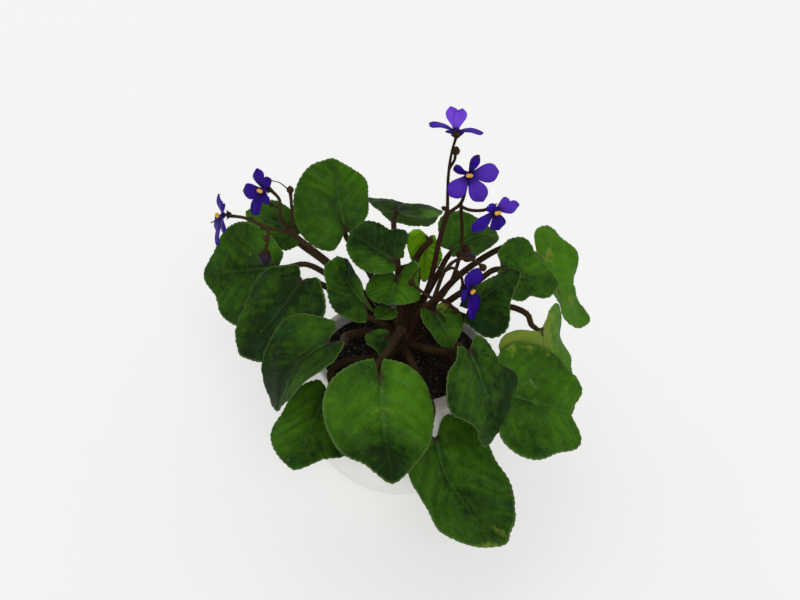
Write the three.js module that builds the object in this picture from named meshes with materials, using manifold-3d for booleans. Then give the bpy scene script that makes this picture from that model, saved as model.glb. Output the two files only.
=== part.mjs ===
// Potted african violet.
// A white bellied plastic pot filled with dark soil holds one plant: a short brown crown with hairy
// petioles, 23 scalloped leaf blades, and three flower stalks that carry six violet flowers.
// Units are millimetres. +Z is up and the origin is the centre of the pot's flat base.
import * as THREE from "three";
import { mergeVertices } from "three/addons/utils/BufferGeometryUtils.js";
import Module from "manifold-3d";

const wasm = await Module();
wasm.setup();

// Pot
const POT_HEIGHT = 86;
const POT_FOOT_RADIUS = 35;
const POT_FOOT_HEIGHT = 1;
const POT_BELLY_RADIUS = 58;
const POT_BELLY_HEIGHT = 44;
const POT_FLARE = 0.6;
const POT_NECK_RADIUS = 49;
const POT_RIM_RADIUS = 49.8;
const POT_RIM_DEPTH = 7;
const POT_WALL = 2;
const POT_FLOOR = 2.5;
const POT_SIDES = 28;

// Soil
const SOIL_HEIGHT = 77;
const SOIL_ROUGHNESS = 0.9;
const STEM_HOLE_RADIUS = 7.3;
const STEM_HOLE_DEPTH = 15;

// Crown
const CROWN_RADIUS = 6.8;
const CROWN_TOP = 99;

// Leaves
const BLADE = 0.8;
const GAP = 0.3;
const SCALLOP = 0.4;
const RINGS = [[0.4, 9], [0.74, 18], [1, 36]];
const PLACES = 12;
const PETIOLE_ROOT = 2.3;
const PETIOLE_TIP = 1.5;
const PETIOLE_SIDES = 6;

// Flowers
const PETAL = 0.7;
const PETAL_RISE = 1.2;
const FLOWER_TUBE = 1.9;
const STALK_SIDES = 6;
const PEDICEL_SIDES = 5;

const COLOURS = {
  pot: { color: 0xd8d8d2, roughness: 0.4 },
  soil: { color: 0x1c1512, roughness: 0.95 },
  stem: { color: 0x3f2720, roughness: 0.7 },
  leaf: { color: 0x2a5716, roughness: 0.5 },
  petal: { color: 0x3a1ea8, roughness: 0.55 },
  anther: { color: 0xe8ac1c, roughness: 0.6 },
  bud: { color: 0x35205c, roughness: 0.7 },
};

// Each leaf: joint with its petiole, tip, width, and how the blade is turned and bent.
// roll turns the blade about its midrib, in degrees: positive lowers its right side.
// arch lifts the middle of the midrib, cup the side edges, fold both halves as a V, bend moves the midrib
// sideways. edge moves the margin outwards at 12 places round the blade, from the tip by the right side.
// rise lifts the margin at the same 12 places. via gives points that the petiole passes.
const LEAVES = {
  leaf_front: {
    joint: [-10, -61, 115], tip: [-3, -96, 85], width: 54, roll: -18, arch: -2, lobe: 0.2, notch: 9,
    edge: [0, -4, 0, 1, 2, 0, -1, -1, -1, 0, 0, -1], via: [[-1, -14, 107], [-5, -36, 115]],
  },
  leaf_front_left: {
    joint: [-37, -45, 91], tip: [-49, -81, 74], width: 44, roll: 5, cup: -3,
    edge: [0, 1, 2, -2, -2, -2, -1, 0, 0, 1, 2, -2],
    via: [[-12, -20, 93], [-30, -26, 94], [-37, -34, 93]],
  },
  leaf_front_right: {
    joint: [18, -61, 76], tip: [50, -100, 48], width: 57, roll: -15, cup: 6, bend: 8,
    edge: [0, -1, 0, -4, 0, 0, -1, 0, 1, 1, 4, 2], via: [[4, -21, 94], [12, -42, 91], [16, -54, 88]],
  },
  leaf_left_lower: {
    joint: [-36, -39, 117], tip: [-65, -52, 85], width: 49, roll: 4, arch: 6, cup: 6,
    edge: [-2, 3, 2, 2, 3, 1, 2, 0, 1, 0, 0, -1], via: [[-16, -3, 97], [-30, -18, 105]],
  },
  leaf_left_middle: {
    joint: [-56, 6, 124], tip: [-87, -18, 91], width: 55, roll: -9, arch: -2,
    edge: [0, 0, -3, 0, -1, -4, 0, -1, 1, 0, 0, 1],
  },
  leaf_left_far: {
    joint: [-74, 30, 117], tip: [-122, 46, 101], width: 59, roll: -60, cup: 5,
    edge: [2, -3, -1, -1, -4, -5, -1, 0, 1, 4, 4, -1], via: [[-30, 24, 104], [-58, 36, 116]],
  },
  leaf_left_back: {
    joint: [-68, 63, 121], tip: [-98, 65, 135], width: 34, roll: -20, arch: 2,
    edge: [-1, -1, 1, -1, -3, -4, -1, -1, 1, -1, 0, 0],
  },
  leaf_back_left: {
    joint: [-36, 53, 130], tip: [-45, 72, 168], width: 48, roll: -10, arch: -4, cup: -4,
    edge: [-1, -3, -2, -6, -7, -7, 1, 5, 5, 4, 4, 3],
  },
  leaf_centre_cupped: {
    joint: [-6, 17, 132], tip: [-31, 29, 142], width: 33, roll: -28, cup: 4,
    edge: [-1, 1, -1, -3, 2, -2, 1, -1, -1, 0, 0, 0], via: [[6, 20, 104], [7, 33, 118]],
  },
  leaf_centre_left: {
    joint: [-20, -3, 113], tip: [-37, 11, 136], width: 32, roll: 18, arch: -2, cup: -5,
    edge: [-1, 0, 0, 0, 0, -1, 1, 2, 1, 0, 0, 3], rise: [0, 2, 1, 1, -3, -2, 0, 0, 0, 0, 0, 0],
  },
  leaf_centre: {
    joint: [-4, 17, 122], tip: [-9, -5, 115], width: 31, roll: -4, arch: -1, cup: -2,
    edge: [-4, -1, 0, 0, 0, 0, 0, 4, -1, 0, -2, -3], rise: [0, 0, 0, 0, 0, 0, 0, 8, 2, 0, 0, 0],
  },
  leaf_centre_lower: {
    joint: [-7, 2, 110], tip: [-14, -6, 109], width: 14, edge: [0, 0, 0, 0, 0, 0, 0, 0, 0, 0, 0, 0],
  },
  leaf_centre_young: {
    joint: [-7, -22, 109], tip: [-17, -33, 112], width: 16, roll: -20, arch: -1, cup: -2,
    edge: [0, 0, 0, 0, 0, 0, 0, -2, -2, -1, 2, 0],
  },
  leaf_right_small: {
    joint: [17, -6, 114], tip: [27, -19, 101], width: 22, roll: 4, arch: 1, cup: 2,
    edge: [-1, 0, -1, -2, 0, 2, 0, 1, 1, 1, 0, -1],
  },
  leaf_right_folded: {
    joint: [32, -47, 121], tip: [42, -69, 84], width: 42, roll: -22, arch: 5, lobe: 0.1, notch: 18,
    edge: [2, -4, -2, 5, 2, -2, 3, 2, -4, 5, 1, 1], via: [[14, -18, 98], [28, -28, 105]],
  },
  leaf_right_large: {
    joint: [53, -43, 91], tip: [94, -44, 78], width: 61, roll: 28, cup: 2,
    edge: [-7, 4, -1, 0, 0, -1, 1, 3, 3, 1, 1, 3], via: [[18, -12, 92], [38, -30, 91]],
  },
  leaf_right_behind: {
    joint: [76, -6, 105], tip: [102, -18, 52], width: 59, roll: 23, arch: -6, cup: -5, lobe: 0.3,
    notch: 60, edge: [-4, 0, 0, 0, 0, 15, 2, 3, -4, -5, -5, -5],
    rise: [0, 0, 0, 0, 0, -2, 0, -3, -2, -6, -1, -2], via: [[30, 7, 98], [56, 8, 110], [69, 2, 109]],
  },
  leaf_right_centre: {
    joint: [34, -7, 118], tip: [59, -4, 139], width: 34, roll: 8, cup: -6,
    edge: [0, -3, -2, 3, 4, 0, 0, -2, -2, -1, -2, 0], via: [[9, 3, 100], [22, 5, 108]],
  },
  leaf_right_upper: {
    joint: [54, 16, 131], tip: [85, 18, 120], width: 34, roll: 31, arch: -4, cup: 3,
    edge: [1, 1, -4, 0, 1, -3, 0, 0, 3, 5, 0, 0], via: [[20, 13, 103], [42, 18, 120]],
  },
  leaf_right_far: {
    joint: [82, 49, 115], tip: [115, 35, 84], width: 52, roll: 0, arch: -2, cup: 0, fold: 7, lobe: 0.3,
    edge: [0, 2, 2, -1, -4, -2, 0, 5, 4, 3, -3, -5], rise: [0, -4, -2, 7, 8, 8, 0, 4, 3, 4, -3, -3],
    via: [[34, 38, 112], [64, 46, 128]],
  },
  leaf_back_folded: {
    joint: [-6, 73, 135], tip: [3, 109, 106], width: 48, roll: 2, arch: 10,
    edge: [-2, 3, 1, 0, 5, 4, 0, -2, 0, 1, 4, 4],
  },
  leaf_back_hanging: {
    joint: [13, 31, 140], tip: [12, 37, 111], width: 29, roll: 3, arch: 2,
    edge: [3, -1, -3, -6, -7, -7, 0, 3, -2, -4, -4, -3], via: [[4, 22, 112], [7, 29, 128]],
  },
  leaf_back_right: {
    joint: [27, 39, 128], tip: [54, 58, 132], width: 35, roll: 14, arch: 2, cup: 5,
    edge: [-1, -1, -2, -3, -2, -3, 0, -2, 2, 2, 2, -1], via: [[14, 28, 104], [21, 34, 116]],
  },
};

// Flower stalks. Each is a list of stems: the points that a stem passes, and its radius at both ends.
const STEMS = [
  // Tall stalk, its fork to three flowers, and the thin stalk beside it
  { points: [[1, 3, 90], [5, 8, 103], [13, 10, 118], [18, 13, 148], [21, 12, 165]], radii: [1.7, 1.3] },
  { points: [[21, 12, 164], [20, 12, 184], [20, 3, 200], [21, -4, 210.5]], radii: [1, 0.6] },
  { points: [[21, 12, 164], [28, 17, 168], [30, 18, 177], [30, 14, 185]], radii: [1, 0.8] },
  { points: [[27, 16, 167], [32, 9, 168], [38, 3, 171], [42, -1, 175]], radii: [0.9, 0.8] },
  {
    points: [[3, 3, 90], [9, 5, 104], [22, 8, 116], [29, 15, 132], [31, 22, 142], [28, 17, 168]],
    radii: [1.3, 0.8],
  },
  { points: [[20, 9, 190], [22, 6, 196], [22, 5, 199]], radii: [0.7, 0.7] },
  { points: [[31, 21, 141], [34, 23, 140], [34, 23, 137]], radii: [0.8, 0.8] },
  // Left stalk and its five pedicels
  { points: [[-3, 3, 90], [-9, 12, 100], [-25, 21, 109], [-43, 20, 128], [-62, 13, 150]], radii: [1.7, 1.3] },
  { points: [[-61, 13, 149], [-66, 11, 160], [-66, 13, 168], [-71, 18, 171]], radii: [1, 0.8] },
  { points: [[-61, 13, 149], [-74, 10, 154], [-84, 9, 159], [-92, 9, 160]], radii: [1, 0.8] },
  { points: [[-61, 13, 149], [-60, 13, 162], [-60, 13, 172]], radii: [0.9, 0.8] },
  { points: [[-73, 10, 153], [-72.5, 8, 149], [-74.5, 6.9, 141.2]], radii: [0.9, 0.8] },
  { points: [[-66, 12, 161], [-68, 16, 162], [-71, 19, 162]], radii: [0.6, 0.6] },
  { points: [[-61, 13, 174], [-65, 12, 178], [-69, 12, 179]], radii: [0.4, 0.3] },
  // Right stalk and its five pedicels
  { points: [[3, -2, 90], [7, -1, 107], [17, -4, 122]], radii: [1.9, 1.4] },
  { points: [[16, -4, 121], [19, -2, 132], [21, -2, 139]], radii: [1.3, 1] },
  { points: [[21, -2, 138], [25, -6, 142], [29, -10, 139], [30, -12, 135]], radii: [0.8, 0.8] },
  { points: [[21, -2, 138], [24, -1, 142], [30.1, 3.3, 143]], radii: [0.9, 0.8] },
  { points: [[21, -2, 138], [27, -2, 145], [35, -2, 145], [41, 0.5, 139.5]], radii: [0.8, 0.8] },
  { points: [[16, -4, 121], [11, 0, 122], [5, 5, 124]], radii: [0.9, 0.8] },
  { points: [[4, 6, 126], [6, 9, 129], [8, 12, 130]], radii: [0.5, 0.3] },
  { points: [[16, -4, 121], [22, -5, 121], [27, -9, 119]], radii: [0.9, 0.8] },
];

// Small closed buds and spent calyces on the stalks: centre, direction, radius, length
const KNOBS = [
  [[22, 4, 201], [0.2, -0.3, 1], 2.1, 4.6],
  [[19, 12, 167], [-1, 0, 0.6], 1.3, 3],
  [[34, 23, 137], [1, 0.2, -0.6], 2.6, 6],
  [[30, 21, 135], [-0.4, 0, -1], 2, 4.5],
  [[-74, 8, 148], [-0.6, 0, -1], 1.7, 4],
  [[-75, 10, 153], [-1, -0.2, -0.2], 1.4, 4],
  [[-72, 19.5, 162], [-1, 0.4, 0.1], 1.4, 3.2],
  [[-81, 10, 158], [-0.4, -0.3, 1], 1.4, 3.4],
  [[-60, 13, 174], [0, 0, 1], 1.9, 4.2],
  [[4, 6, 125], [-0.2, 0.3, 1], 1.9, 4.4],
  [[28, -10, 118], [0.6, -0.5, -0.5], 1.7, 4],
  [[41, 0.5, 139], [0.3, 0, -1], 2.1, 4.4],
];

// Closed violet buds: centre, direction away from the stalk, radius, length
const BUDS = {
  bud_left: [[-75, 6.5, 136.5], [-0.1, -0.1, -1], 3.4, 8.4],
  bud_right: [[34, 4.5, 143], [1, 0.3, 0], 2.6, 7.2],
};

// Open flowers: centre, the way it faces, and its petals. A petal is its angle from the top, clockwise
// as seen from the front, its length and width, how far it lifts forwards, and its twist, in degrees.
const FLOWERS = {
  flower_top: {
    centre: [21, -1, 212], face: [0, 0.97, 0.25], spin: 0,
    petals: [
      [-13, 10.5, 6, 20, 0], [18, 11.5, 6, 20, 0], [79, 13, 8, 8, -76], [180, 11, 9, 50, 0],
      [263, 13, 8, 8, 76],
    ],
  },
  flower_upper: {
    centre: [30, 11, 186], face: [0.02, -0.95, 0.3], spin: 0,
    petals: [
      [300, 10.5, 5.5, 30, -50], [21, 12, 5.5, 25, -40], [81, 15, 9.5, 8, 0], [148, 15, 9.5, 8, 0],
      [220, 14, 9.5, 8, 0],
    ],
  },
  flower_middle: {
    centre: [43, -3.5, 174.5], face: [0.3, -0.88, -0.1], spin: 0,
    petals: [
      [305, 6, 5, 10, 0], [40, 8.5, 6.5, 10, 0], [76, 12, 7.5, 10, 0], [166, 11.5, 8.5, 10, 0],
      [233, 15.5, 8, 10, 0],
    ],
  },
  flower_left: {
    centre: [-74, 15.7, 172], face: [-0.6, -0.78, 0.15], spin: 0,
    petals: [
      [338, 11.5, 9, 8, 0], [30, 9.5, 5, 8, 20], [149, 7.5, 7, 8, 0], [202, 16.5, 7.5, 8, 0],
      [252, 15, 8.5, 8, 0],
    ],
  },
  flower_far_left: {
    centre: [-95.1, 8.9, 160.3], face: [-0.88, -0.45, 0.15], spin: 0,
    petals: [
      [334, 11, 8, 8, 0], [26, 10, 8, 8, 0], [110, 12, 8, 8, 0], [187, 19, 8, 8, 0], [220, 15, 8, 8, 0],
    ],
  },
  flower_right: {
    centre: [32.5, -13.5, 134], face: [0.8, -0.6, 0], spin: 0,
    petals: [
      [338, 14, 7, 8, 0], [27, 12.5, 9, 8, -30], [162, 14.5, 9, 20, 0], [185, 17, 8, 20, 0],
      [265, 8, 8, 8, 0],
    ],
  },
};

const rad = THREE.MathUtils.degToRad;
const vec = (p) => new THREE.Vector3(p[0], p[1], p[2]);

// Joins and cuts
function toSolid(geometry) {
  const bare = geometry.clone();
  bare.deleteAttribute("normal");
  bare.deleteAttribute("uv");
  const merged = mergeVertices(bare, 1e-4);
  return new wasm.Manifold(new wasm.Mesh({
    numProp: 3,
    vertProperties: Float32Array.from(merged.attributes.position.array),
    triVerts: Uint32Array.from(merged.index.array),
  }));
}

function fromSolid(solid) {
  const mesh = solid.getMesh();
  const geometry = new THREE.BufferGeometry();
  const points = [];
  for (let i = 0; i < mesh.vertProperties.length; i += mesh.numProp) {
    points.push(mesh.vertProperties[i], mesh.vertProperties[i + 1], mesh.vertProperties[i + 2]);
  }
  geometry.setAttribute("position", new THREE.Float32BufferAttribute(points, 3));
  geometry.setIndex(Array.from(mesh.triVerts));
  geometry.computeVertexNormals();
  return geometry;
}

function fuse(geometries) {
  return fromSolid(geometries.map(toSolid).reduce((a, b) => a.add(b)));
}

function named(name, geometry, colour) {
  const mesh = new THREE.Mesh(geometry, new THREE.MeshStandardMaterial({ ...colour, metalness: 0 }));
  mesh.name = name;
  return mesh;
}

// Round bodies about +Z: the profile is a list of [radius, height]
function turned(profile, sides) {
  const geometry = new THREE.LatheGeometry(profile.map(([r, z]) => new THREE.Vector2(r, z)), sides);
  geometry.rotateX(Math.PI / 2);
  return geometry;
}

// A round tube along a smooth curve through the points, thinning from one radius to the other
function tube(points, rootRadius, tipRadius, sides, steps) {
  const path = new THREE.CatmullRomCurve3(points.map(vec), false, "centripetal");
  const ring = new THREE.Shape();
  for (let i = 0; i < sides; i += 1) {
    const angle = (2 * Math.PI * i) / sides;
    const [x, y] = [rootRadius * Math.cos(angle), rootRadius * Math.sin(angle)];
    if (i === 0) ring.moveTo(x, y);
    else ring.lineTo(x, y);
  }
  ring.closePath();
  const geometry = new THREE.ExtrudeGeometry(ring, { steps, extrudePath: path, curveSegments: 1 });
  const centres = path.getSpacedPoints(steps);
  const position = geometry.attributes.position;
  const p = new THREE.Vector3();
  for (let i = 0; i < position.count; i += 1) {
    p.fromBufferAttribute(position, i);
    let nearest = 0;
    let error = Infinity;
    centres.forEach((centre, k) => {
      const e = Math.abs(centre.distanceTo(p) - rootRadius);
      if (e < error - 1e-6) {
        error = e;
        nearest = k;
      }
    });
    const scale = THREE.MathUtils.lerp(rootRadius, tipRadius, nearest / steps) / rootRadius;
    p.sub(centres[nearest]).multiplyScalar(scale).add(centres[nearest]);
    position.setXYZ(i, p.x, p.y, p.z);
  }
  return geometry;
}

// A small rounded body: a sphere stretched along a direction
function knob(centre, direction, radius, length, sides = 6, rings = 4) {
  const geometry = new THREE.SphereGeometry(radius, sides, rings);
  geometry.scale(1, length / (2 * radius), 1);
  const turn = new THREE.Quaternion();
  turn.setFromUnitVectors(new THREE.Vector3(0, 1, 0), vec(direction).normalize());
  geometry.applyQuaternion(turn);
  geometry.translate(...centre);
  return geometry;
}

// Pot and soil
function potProfile() {
  const out = [[POT_FOOT_RADIUS, 0]];
  for (let i = 1; i <= 4; i += 1) {
    const t = i / 4;
    const [s, c] = [Math.sin((t * Math.PI) / 2), Math.cos((t * Math.PI) / 2)];
    const r = THREE.MathUtils.lerp(POT_FOOT_RADIUS, POT_BELLY_RADIUS, s);
    out.push([r, THREE.MathUtils.lerp(POT_FOOT_HEIGHT, POT_BELLY_HEIGHT, (1 - c) ** POT_FLARE)]);
  }
  const neckHeight = POT_HEIGHT - POT_RIM_DEPTH;
  for (let i = 1; i <= 4; i += 1) {
    const t = i / 4;
    const r = POT_NECK_RADIUS + (POT_BELLY_RADIUS - POT_NECK_RADIUS) * (0.5 + 0.5 * Math.cos(t * Math.PI));
    out.push([r, THREE.MathUtils.lerp(POT_BELLY_HEIGHT, neckHeight, t)]);
  }
  return out;
}

function innerProfile(outer, inset) {
  return outer.slice(1).map(([r, z]) => [r - inset, Math.max(z, POT_FLOOR + (inset - POT_WALL))]);
}

function pot() {
  const outer = potProfile();
  const inner = innerProfile(outer, POT_WALL).reverse();
  const neck = POT_HEIGHT - POT_RIM_DEPTH;
  const lip = [
    [POT_RIM_RADIUS, neck + 0.4],
    [POT_RIM_RADIUS + 0.4, POT_HEIGHT - 1.4],
    [POT_RIM_RADIUS - 0.6, POT_HEIGHT - 0.2],
    [POT_RIM_RADIUS - 2, POT_HEIGHT],
    [POT_RIM_RADIUS - 3.6, POT_HEIGHT - 0.6],
    [POT_RIM_RADIUS - 3.8, POT_HEIGHT - 2.4],
  ];
  const floor = [[POT_FOOT_RADIUS - POT_WALL - 1, POT_FLOOR], [0, POT_FLOOR]];
  const profile = [[0, 0], ...outer, ...lip, ...inner, ...floor];
  return turned(profile, POT_SIDES);
}

function soil() {
  const outer = innerProfile(potProfile(), POT_WALL + GAP).filter(([, z]) => z < SOIL_HEIGHT - 2);
  const wall = POT_NECK_RADIUS - POT_WALL - GAP;
  const base = POT_FLOOR + GAP;
  const profile = [
    [0, base],
    [POT_FOOT_RADIUS - POT_WALL - 1.6, base],
    ...outer,
    [wall - 0.8, SOIL_HEIGHT - 1],
    [0.86 * wall, SOIL_HEIGHT],
    [0.64 * wall, SOIL_HEIGHT],
    [0.4 * wall, SOIL_HEIGHT + 0.6],
    [STEM_HOLE_RADIUS, SOIL_HEIGHT + 0.6],
    [STEM_HOLE_RADIUS, SOIL_HEIGHT - STEM_HOLE_DEPTH],
    [0, SOIL_HEIGHT - STEM_HOLE_DEPTH],
  ];
  const geometry = turned(profile, POT_SIDES);
  const position = geometry.attributes.position;
  for (let i = 0; i < position.count; i += 1) {
    const [x, y, z] = [position.getX(i), position.getY(i), position.getZ(i)];
    const r = Math.hypot(x, y);
    if (z > SOIL_HEIGHT - 0.5 && r > STEM_HOLE_RADIUS + 1 && r < 0.9 * wall) {
      position.setZ(i, z + SOIL_ROUGHNESS * Math.sin(1.9 * x + 0.7 * y) * Math.cos(1.3 * y - 0.4 * x));
    }
  }
  return geometry;
}

// Leaf blades
// Smooth closed blend of the 12 values given round a blade
function around(theta, values) {
  const t = (((theta / (2 * Math.PI)) % 1) + 1) % 1 * PLACES;
  const i = Math.floor(t);
  const f = t - i;
  const [a, b, c, d] = [-1, 0, 1, 2].map((k) => values[(i + k + PLACES) % PLACES]);
  return b + 0.5 * f * (c - a + f * (2 * a - 5 * b + 4 * c - d + f * (3 * (b - c) + d - a)));
}

function leafFrame(leaf) {
  const joint = vec(leaf.joint);
  const along = vec(leaf.tip).sub(joint);
  const length = along.length();
  along.normalize();
  const flat = new THREE.Vector3().crossVectors(along, new THREE.Vector3(0, 0, 1)).normalize();
  const up = new THREE.Vector3().crossVectors(flat, along);
  const roll = rad(leaf.roll ?? 0);
  const side = flat.clone().multiplyScalar(Math.cos(roll)).addScaledVector(up, -Math.sin(roll));
  const normal = flat.clone().multiplyScalar(Math.sin(roll)).addScaledVector(up, Math.cos(roll));
  return { joint, along, side, normal, length };
}

// The margin's distance from the blade's centre, with a small point at the tip and a notch at the joint
function marginRadius(theta, leaf, length) {
  const lobe = (leaf.lobe ?? 0.18) * length;
  const centre = (length - lobe) / 2;
  const [c, s] = [Math.cos(theta), Math.sin(theta)];
  let r = 1 / Math.hypot(c / ((length + lobe) / 2), s / ((leaf.width / 2) * (1 - 0.1 * c)));
  r += around(theta, leaf.edge);
  const fromTip = Math.min(theta, 2 * Math.PI - theta);
  r += 1.5 * Math.exp(-((fromTip / 0.16) ** 2));
  const k = THREE.MathUtils.smoothstep(1 - Math.abs(theta - Math.PI) / rad(leaf.notch ?? 22), 0, 1);
  return [r * (1 - k) + centre * k, centre];
}

function bladePoint(rho, theta, leaf, frame, scallop = 0) {
  const [radius, centre] = marginRadius(theta, leaf, frame.length);
  const r = (radius + scallop) * rho;
  const x = centre + r * Math.cos(theta);
  const y = r * Math.sin(theta);
  const u = x / frame.length;
  const v = y / (leaf.width / 2);
  let lift = (leaf.arch ?? 0) * (u > 0 ? 4 * u * (1 - u) : 2.4 * u);
  lift += (leaf.cup ?? 0) * v * v + (leaf.fold ?? 0) * (Math.sqrt(v * v + 0.01) - 0.1);
  lift += leaf.rise ? rho ** 2.5 * around(theta, leaf.rise) : 0;
  const shift = (leaf.bend ?? 0) * (u > 0 ? 4 * u * (1 - u) : 2.4 * u);
  return frame.joint.clone()
    .addScaledVector(frame.along, x)
    .addScaledVector(frame.side, y + shift)
    .addScaledVector(frame.normal, lift);
}

function blade(leaf) {
  const frame = leafFrame(leaf);
  const points = [bladePoint(0, 0, leaf, frame)];
  const faces = [];
  let inner = null;
  RINGS.forEach(([rho, count]) => {
    const start = points.length;
    for (let i = 0; i < count; i += 1) {
      const scallop = rho === 1 && i % 2 === 1 ? -SCALLOP : 0;
      points.push(bladePoint(rho, (2 * Math.PI * i) / count, leaf, frame, scallop));
    }
    const outer = (i) => start + (i % count);
    if (!inner) {
      for (let i = 0; i < count; i += 1) faces.push([0, outer(i + 1), outer(i)]);
    } else {
      const step = count / inner.count;
      for (let i = 0; i < inner.count; i += 1) {
        const [a, b] = [inner.start + i, inner.start + ((i + 1) % inner.count)];
        if (step === 1) {
          faces.push([a, outer(i + 1), outer(i)], [a, b, outer(i + 1)]);
        } else {
          faces.push([a, outer(2 * i + 1), outer(2 * i)], [a, b, outer(2 * i + 1)]);
          faces.push([b, outer(2 * i + 2), outer(2 * i + 1)]);
        }
      }
    }
    inner = { start, count };
  });
  const rim = Array.from({ length: inner.count }, (_, i) => inner.start + i);
  return thickened(points, faces, rim, BLADE);
}

// A thin solid round a sheet: both faces are split alike, and a strip closes the margin
function thickened(points, faces, rim, thickness) {
  const normals = points.map(() => new THREE.Vector3());
  faces.forEach(([a, b, c]) => {
    const n = points[b].clone().sub(points[a]).cross(points[c].clone().sub(points[a]));
    [a, b, c].forEach((i) => normals[i].add(n));
  });
  const positions = [];
  [1, -1].forEach((face) => points.forEach((p, i) => {
    const q = p.clone().addScaledVector(normals[i].clone().normalize(), (face * thickness) / 2);
    positions.push(q.x, q.y, q.z);
  }));
  const n = points.length;
  const index = [];
  faces.forEach(([a, b, c]) => index.push(a, b, c, a + n, c + n, b + n));
  rim.forEach((a, i) => {
    const b = rim[(i + 1) % rim.length];
    index.push(a, b, b + n, a, b + n, a + n);
  });
  const geometry = new THREE.BufferGeometry();
  geometry.setAttribute("position", new THREE.Float32BufferAttribute(positions, 3));
  geometry.setIndex(index);
  geometry.computeVertexNormals();
  return geometry;
}

// Petioles: from the crown up and out, to end just under the blade's joint
function petiole(leaf) {
  const frame = leafFrame(leaf);
  const clear = BLADE / 2 + GAP + 1.1;
  const end = frame.joint.clone().addScaledVector(frame.along, 1.5).addScaledVector(frame.normal, -clear);
  const out = Math.hypot(end.x, end.y);
  const [cx, cy] = [end.x / out, end.y / out];
  const rootHeight = THREE.MathUtils.clamp(86 + 0.12 * (end.z - 86), 85, 93);
  const root = new THREE.Vector3(2.5 * cx, 2.5 * cy, rootHeight);
  const before = end.clone().addScaledVector(frame.along, -4).addScaledVector(frame.normal, -4.5);
  const via = leaf.via ? leaf.via.map(vec) : [0.35, 0.7].map((t) => {
    const p = root.clone().lerp(before, t);
    p.z += 5 * Math.sin(Math.PI * t);
    return p;
  });
  const points = [root, ...via, before, end].map((p) => p.toArray());
  return tube(points, PETIOLE_ROOT, PETIOLE_TIP, PETIOLE_SIDES, 5);
}

function crown() {
  return turned([
    [0, SOIL_HEIGHT - STEM_HOLE_DEPTH + GAP],
    [CROWN_RADIUS - 1.5, SOIL_HEIGHT - STEM_HOLE_DEPTH + GAP],
    [CROWN_RADIUS, SOIL_HEIGHT - 4],
    [CROWN_RADIUS, CROWN_TOP - 10],
    [CROWN_RADIUS - 1.4, CROWN_TOP - 4],
    [0, CROWN_TOP],
  ], 12);
}

// Flowers
function flowerFrame(flower) {
  const face = vec(flower.face).normalize();
  const level = new THREE.Vector3().crossVectors(new THREE.Vector3(0, 0, 1), face).normalize();
  const upright = new THREE.Vector3().crossVectors(face, level);
  const spin = rad(flower.spin);
  const up = upright.clone().multiplyScalar(Math.cos(spin)).addScaledVector(level, Math.sin(spin));
  const right = new THREE.Vector3().crossVectors(up, face);
  return { centre: vec(flower.centre), face, up, right };
}

function petal([angle, length, width, lift, twist], frame) {
  const turn = rad(angle);
  const flat = frame.up.clone().multiplyScalar(Math.cos(turn)).addScaledVector(frame.right, Math.sin(turn));
  const raised = rad(lift);
  const out = flat.clone().multiplyScalar(Math.cos(raised)).addScaledVector(frame.face, Math.sin(raised));
  const across = new THREE.Vector3().crossVectors(out, frame.face).normalize();
  across.applyAxisAngle(out, rad(twist));
  const normal = new THREE.Vector3().crossVectors(across, out);
  const points = [];
  const stations = [0, 0.38, 0.76, 1];
  const columns = [-1, 0, 1];
  stations.forEach((t) => {
    const half = (width / 2) * (0.14 + 0.86 * Math.sin(0.87 * Math.PI * t ** 1.4) ** 0.9);
    columns.forEach((v) => {
      const reach = 1.2 + (length - 1.2) * (t - 0.08 * t * v * v);
      const bulge = PETAL_RISE * (Math.sin(Math.PI * t) - 0.5 * t * v * v);
      points.push(frame.centre.clone().addScaledVector(out, reach).addScaledVector(across, v * half)
        .addScaledVector(normal, bulge));
    });
  });
  const faces = [];
  const n = columns.length;
  for (let i = 0; i < stations.length - 1; i += 1) {
    for (let j = 0; j < n - 1; j += 1) {
      const a = i * n + j;
      faces.push([a, a + 1, a + n + 1], [a, a + n + 1, a + n]);
    }
  }
  const last = (stations.length - 1) * n;
  const rim = [];
  for (let j = 0; j < n; j += 1) rim.push(j);
  for (let i = 1; i < stations.length; i += 1) rim.push(i * n + n - 1);
  for (let j = n - 2; j >= 0; j -= 1) rim.push(last + j);
  for (let i = stations.length - 2; i > 0; i -= 1) rim.push(i * n);
  return thickened(points, faces, rim.reverse(), PETAL);
}

function corolla(flower) {
  const frame = flowerFrame(flower);
  const { centre, face, up } = frame;
  const middle = knob(centre.toArray(), face.toArray(), FLOWER_TUBE, 2.6, 8);
  const styleRoot = centre.clone().addScaledVector(up, -1.2);
  const styleMid = centre.clone().addScaledVector(up, -2.6).addScaledVector(face, 3);
  const styleTip = centre.clone().addScaledVector(up, -4.2).addScaledVector(face, 6.2);
  const style = tube([styleRoot, styleMid, styleTip].map((p) => p.toArray()), 0.45, 0.4, 4, 2);
  return fuse([middle, style, ...flower.petals.map((p) => petal(p, frame))]);
}

function anthers(flower) {
  const { centre, face, right } = flowerFrame(flower);
  return fuse([-1, 1].map((k) => {
    const at = centre.clone().addScaledVector(face, 3).addScaledVector(right, 0.7 * k);
    return knob(at.toArray(), right.clone().addScaledVector(face, 0.5 * k).toArray(), 1.05, 2.2);
  }));
}

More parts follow.
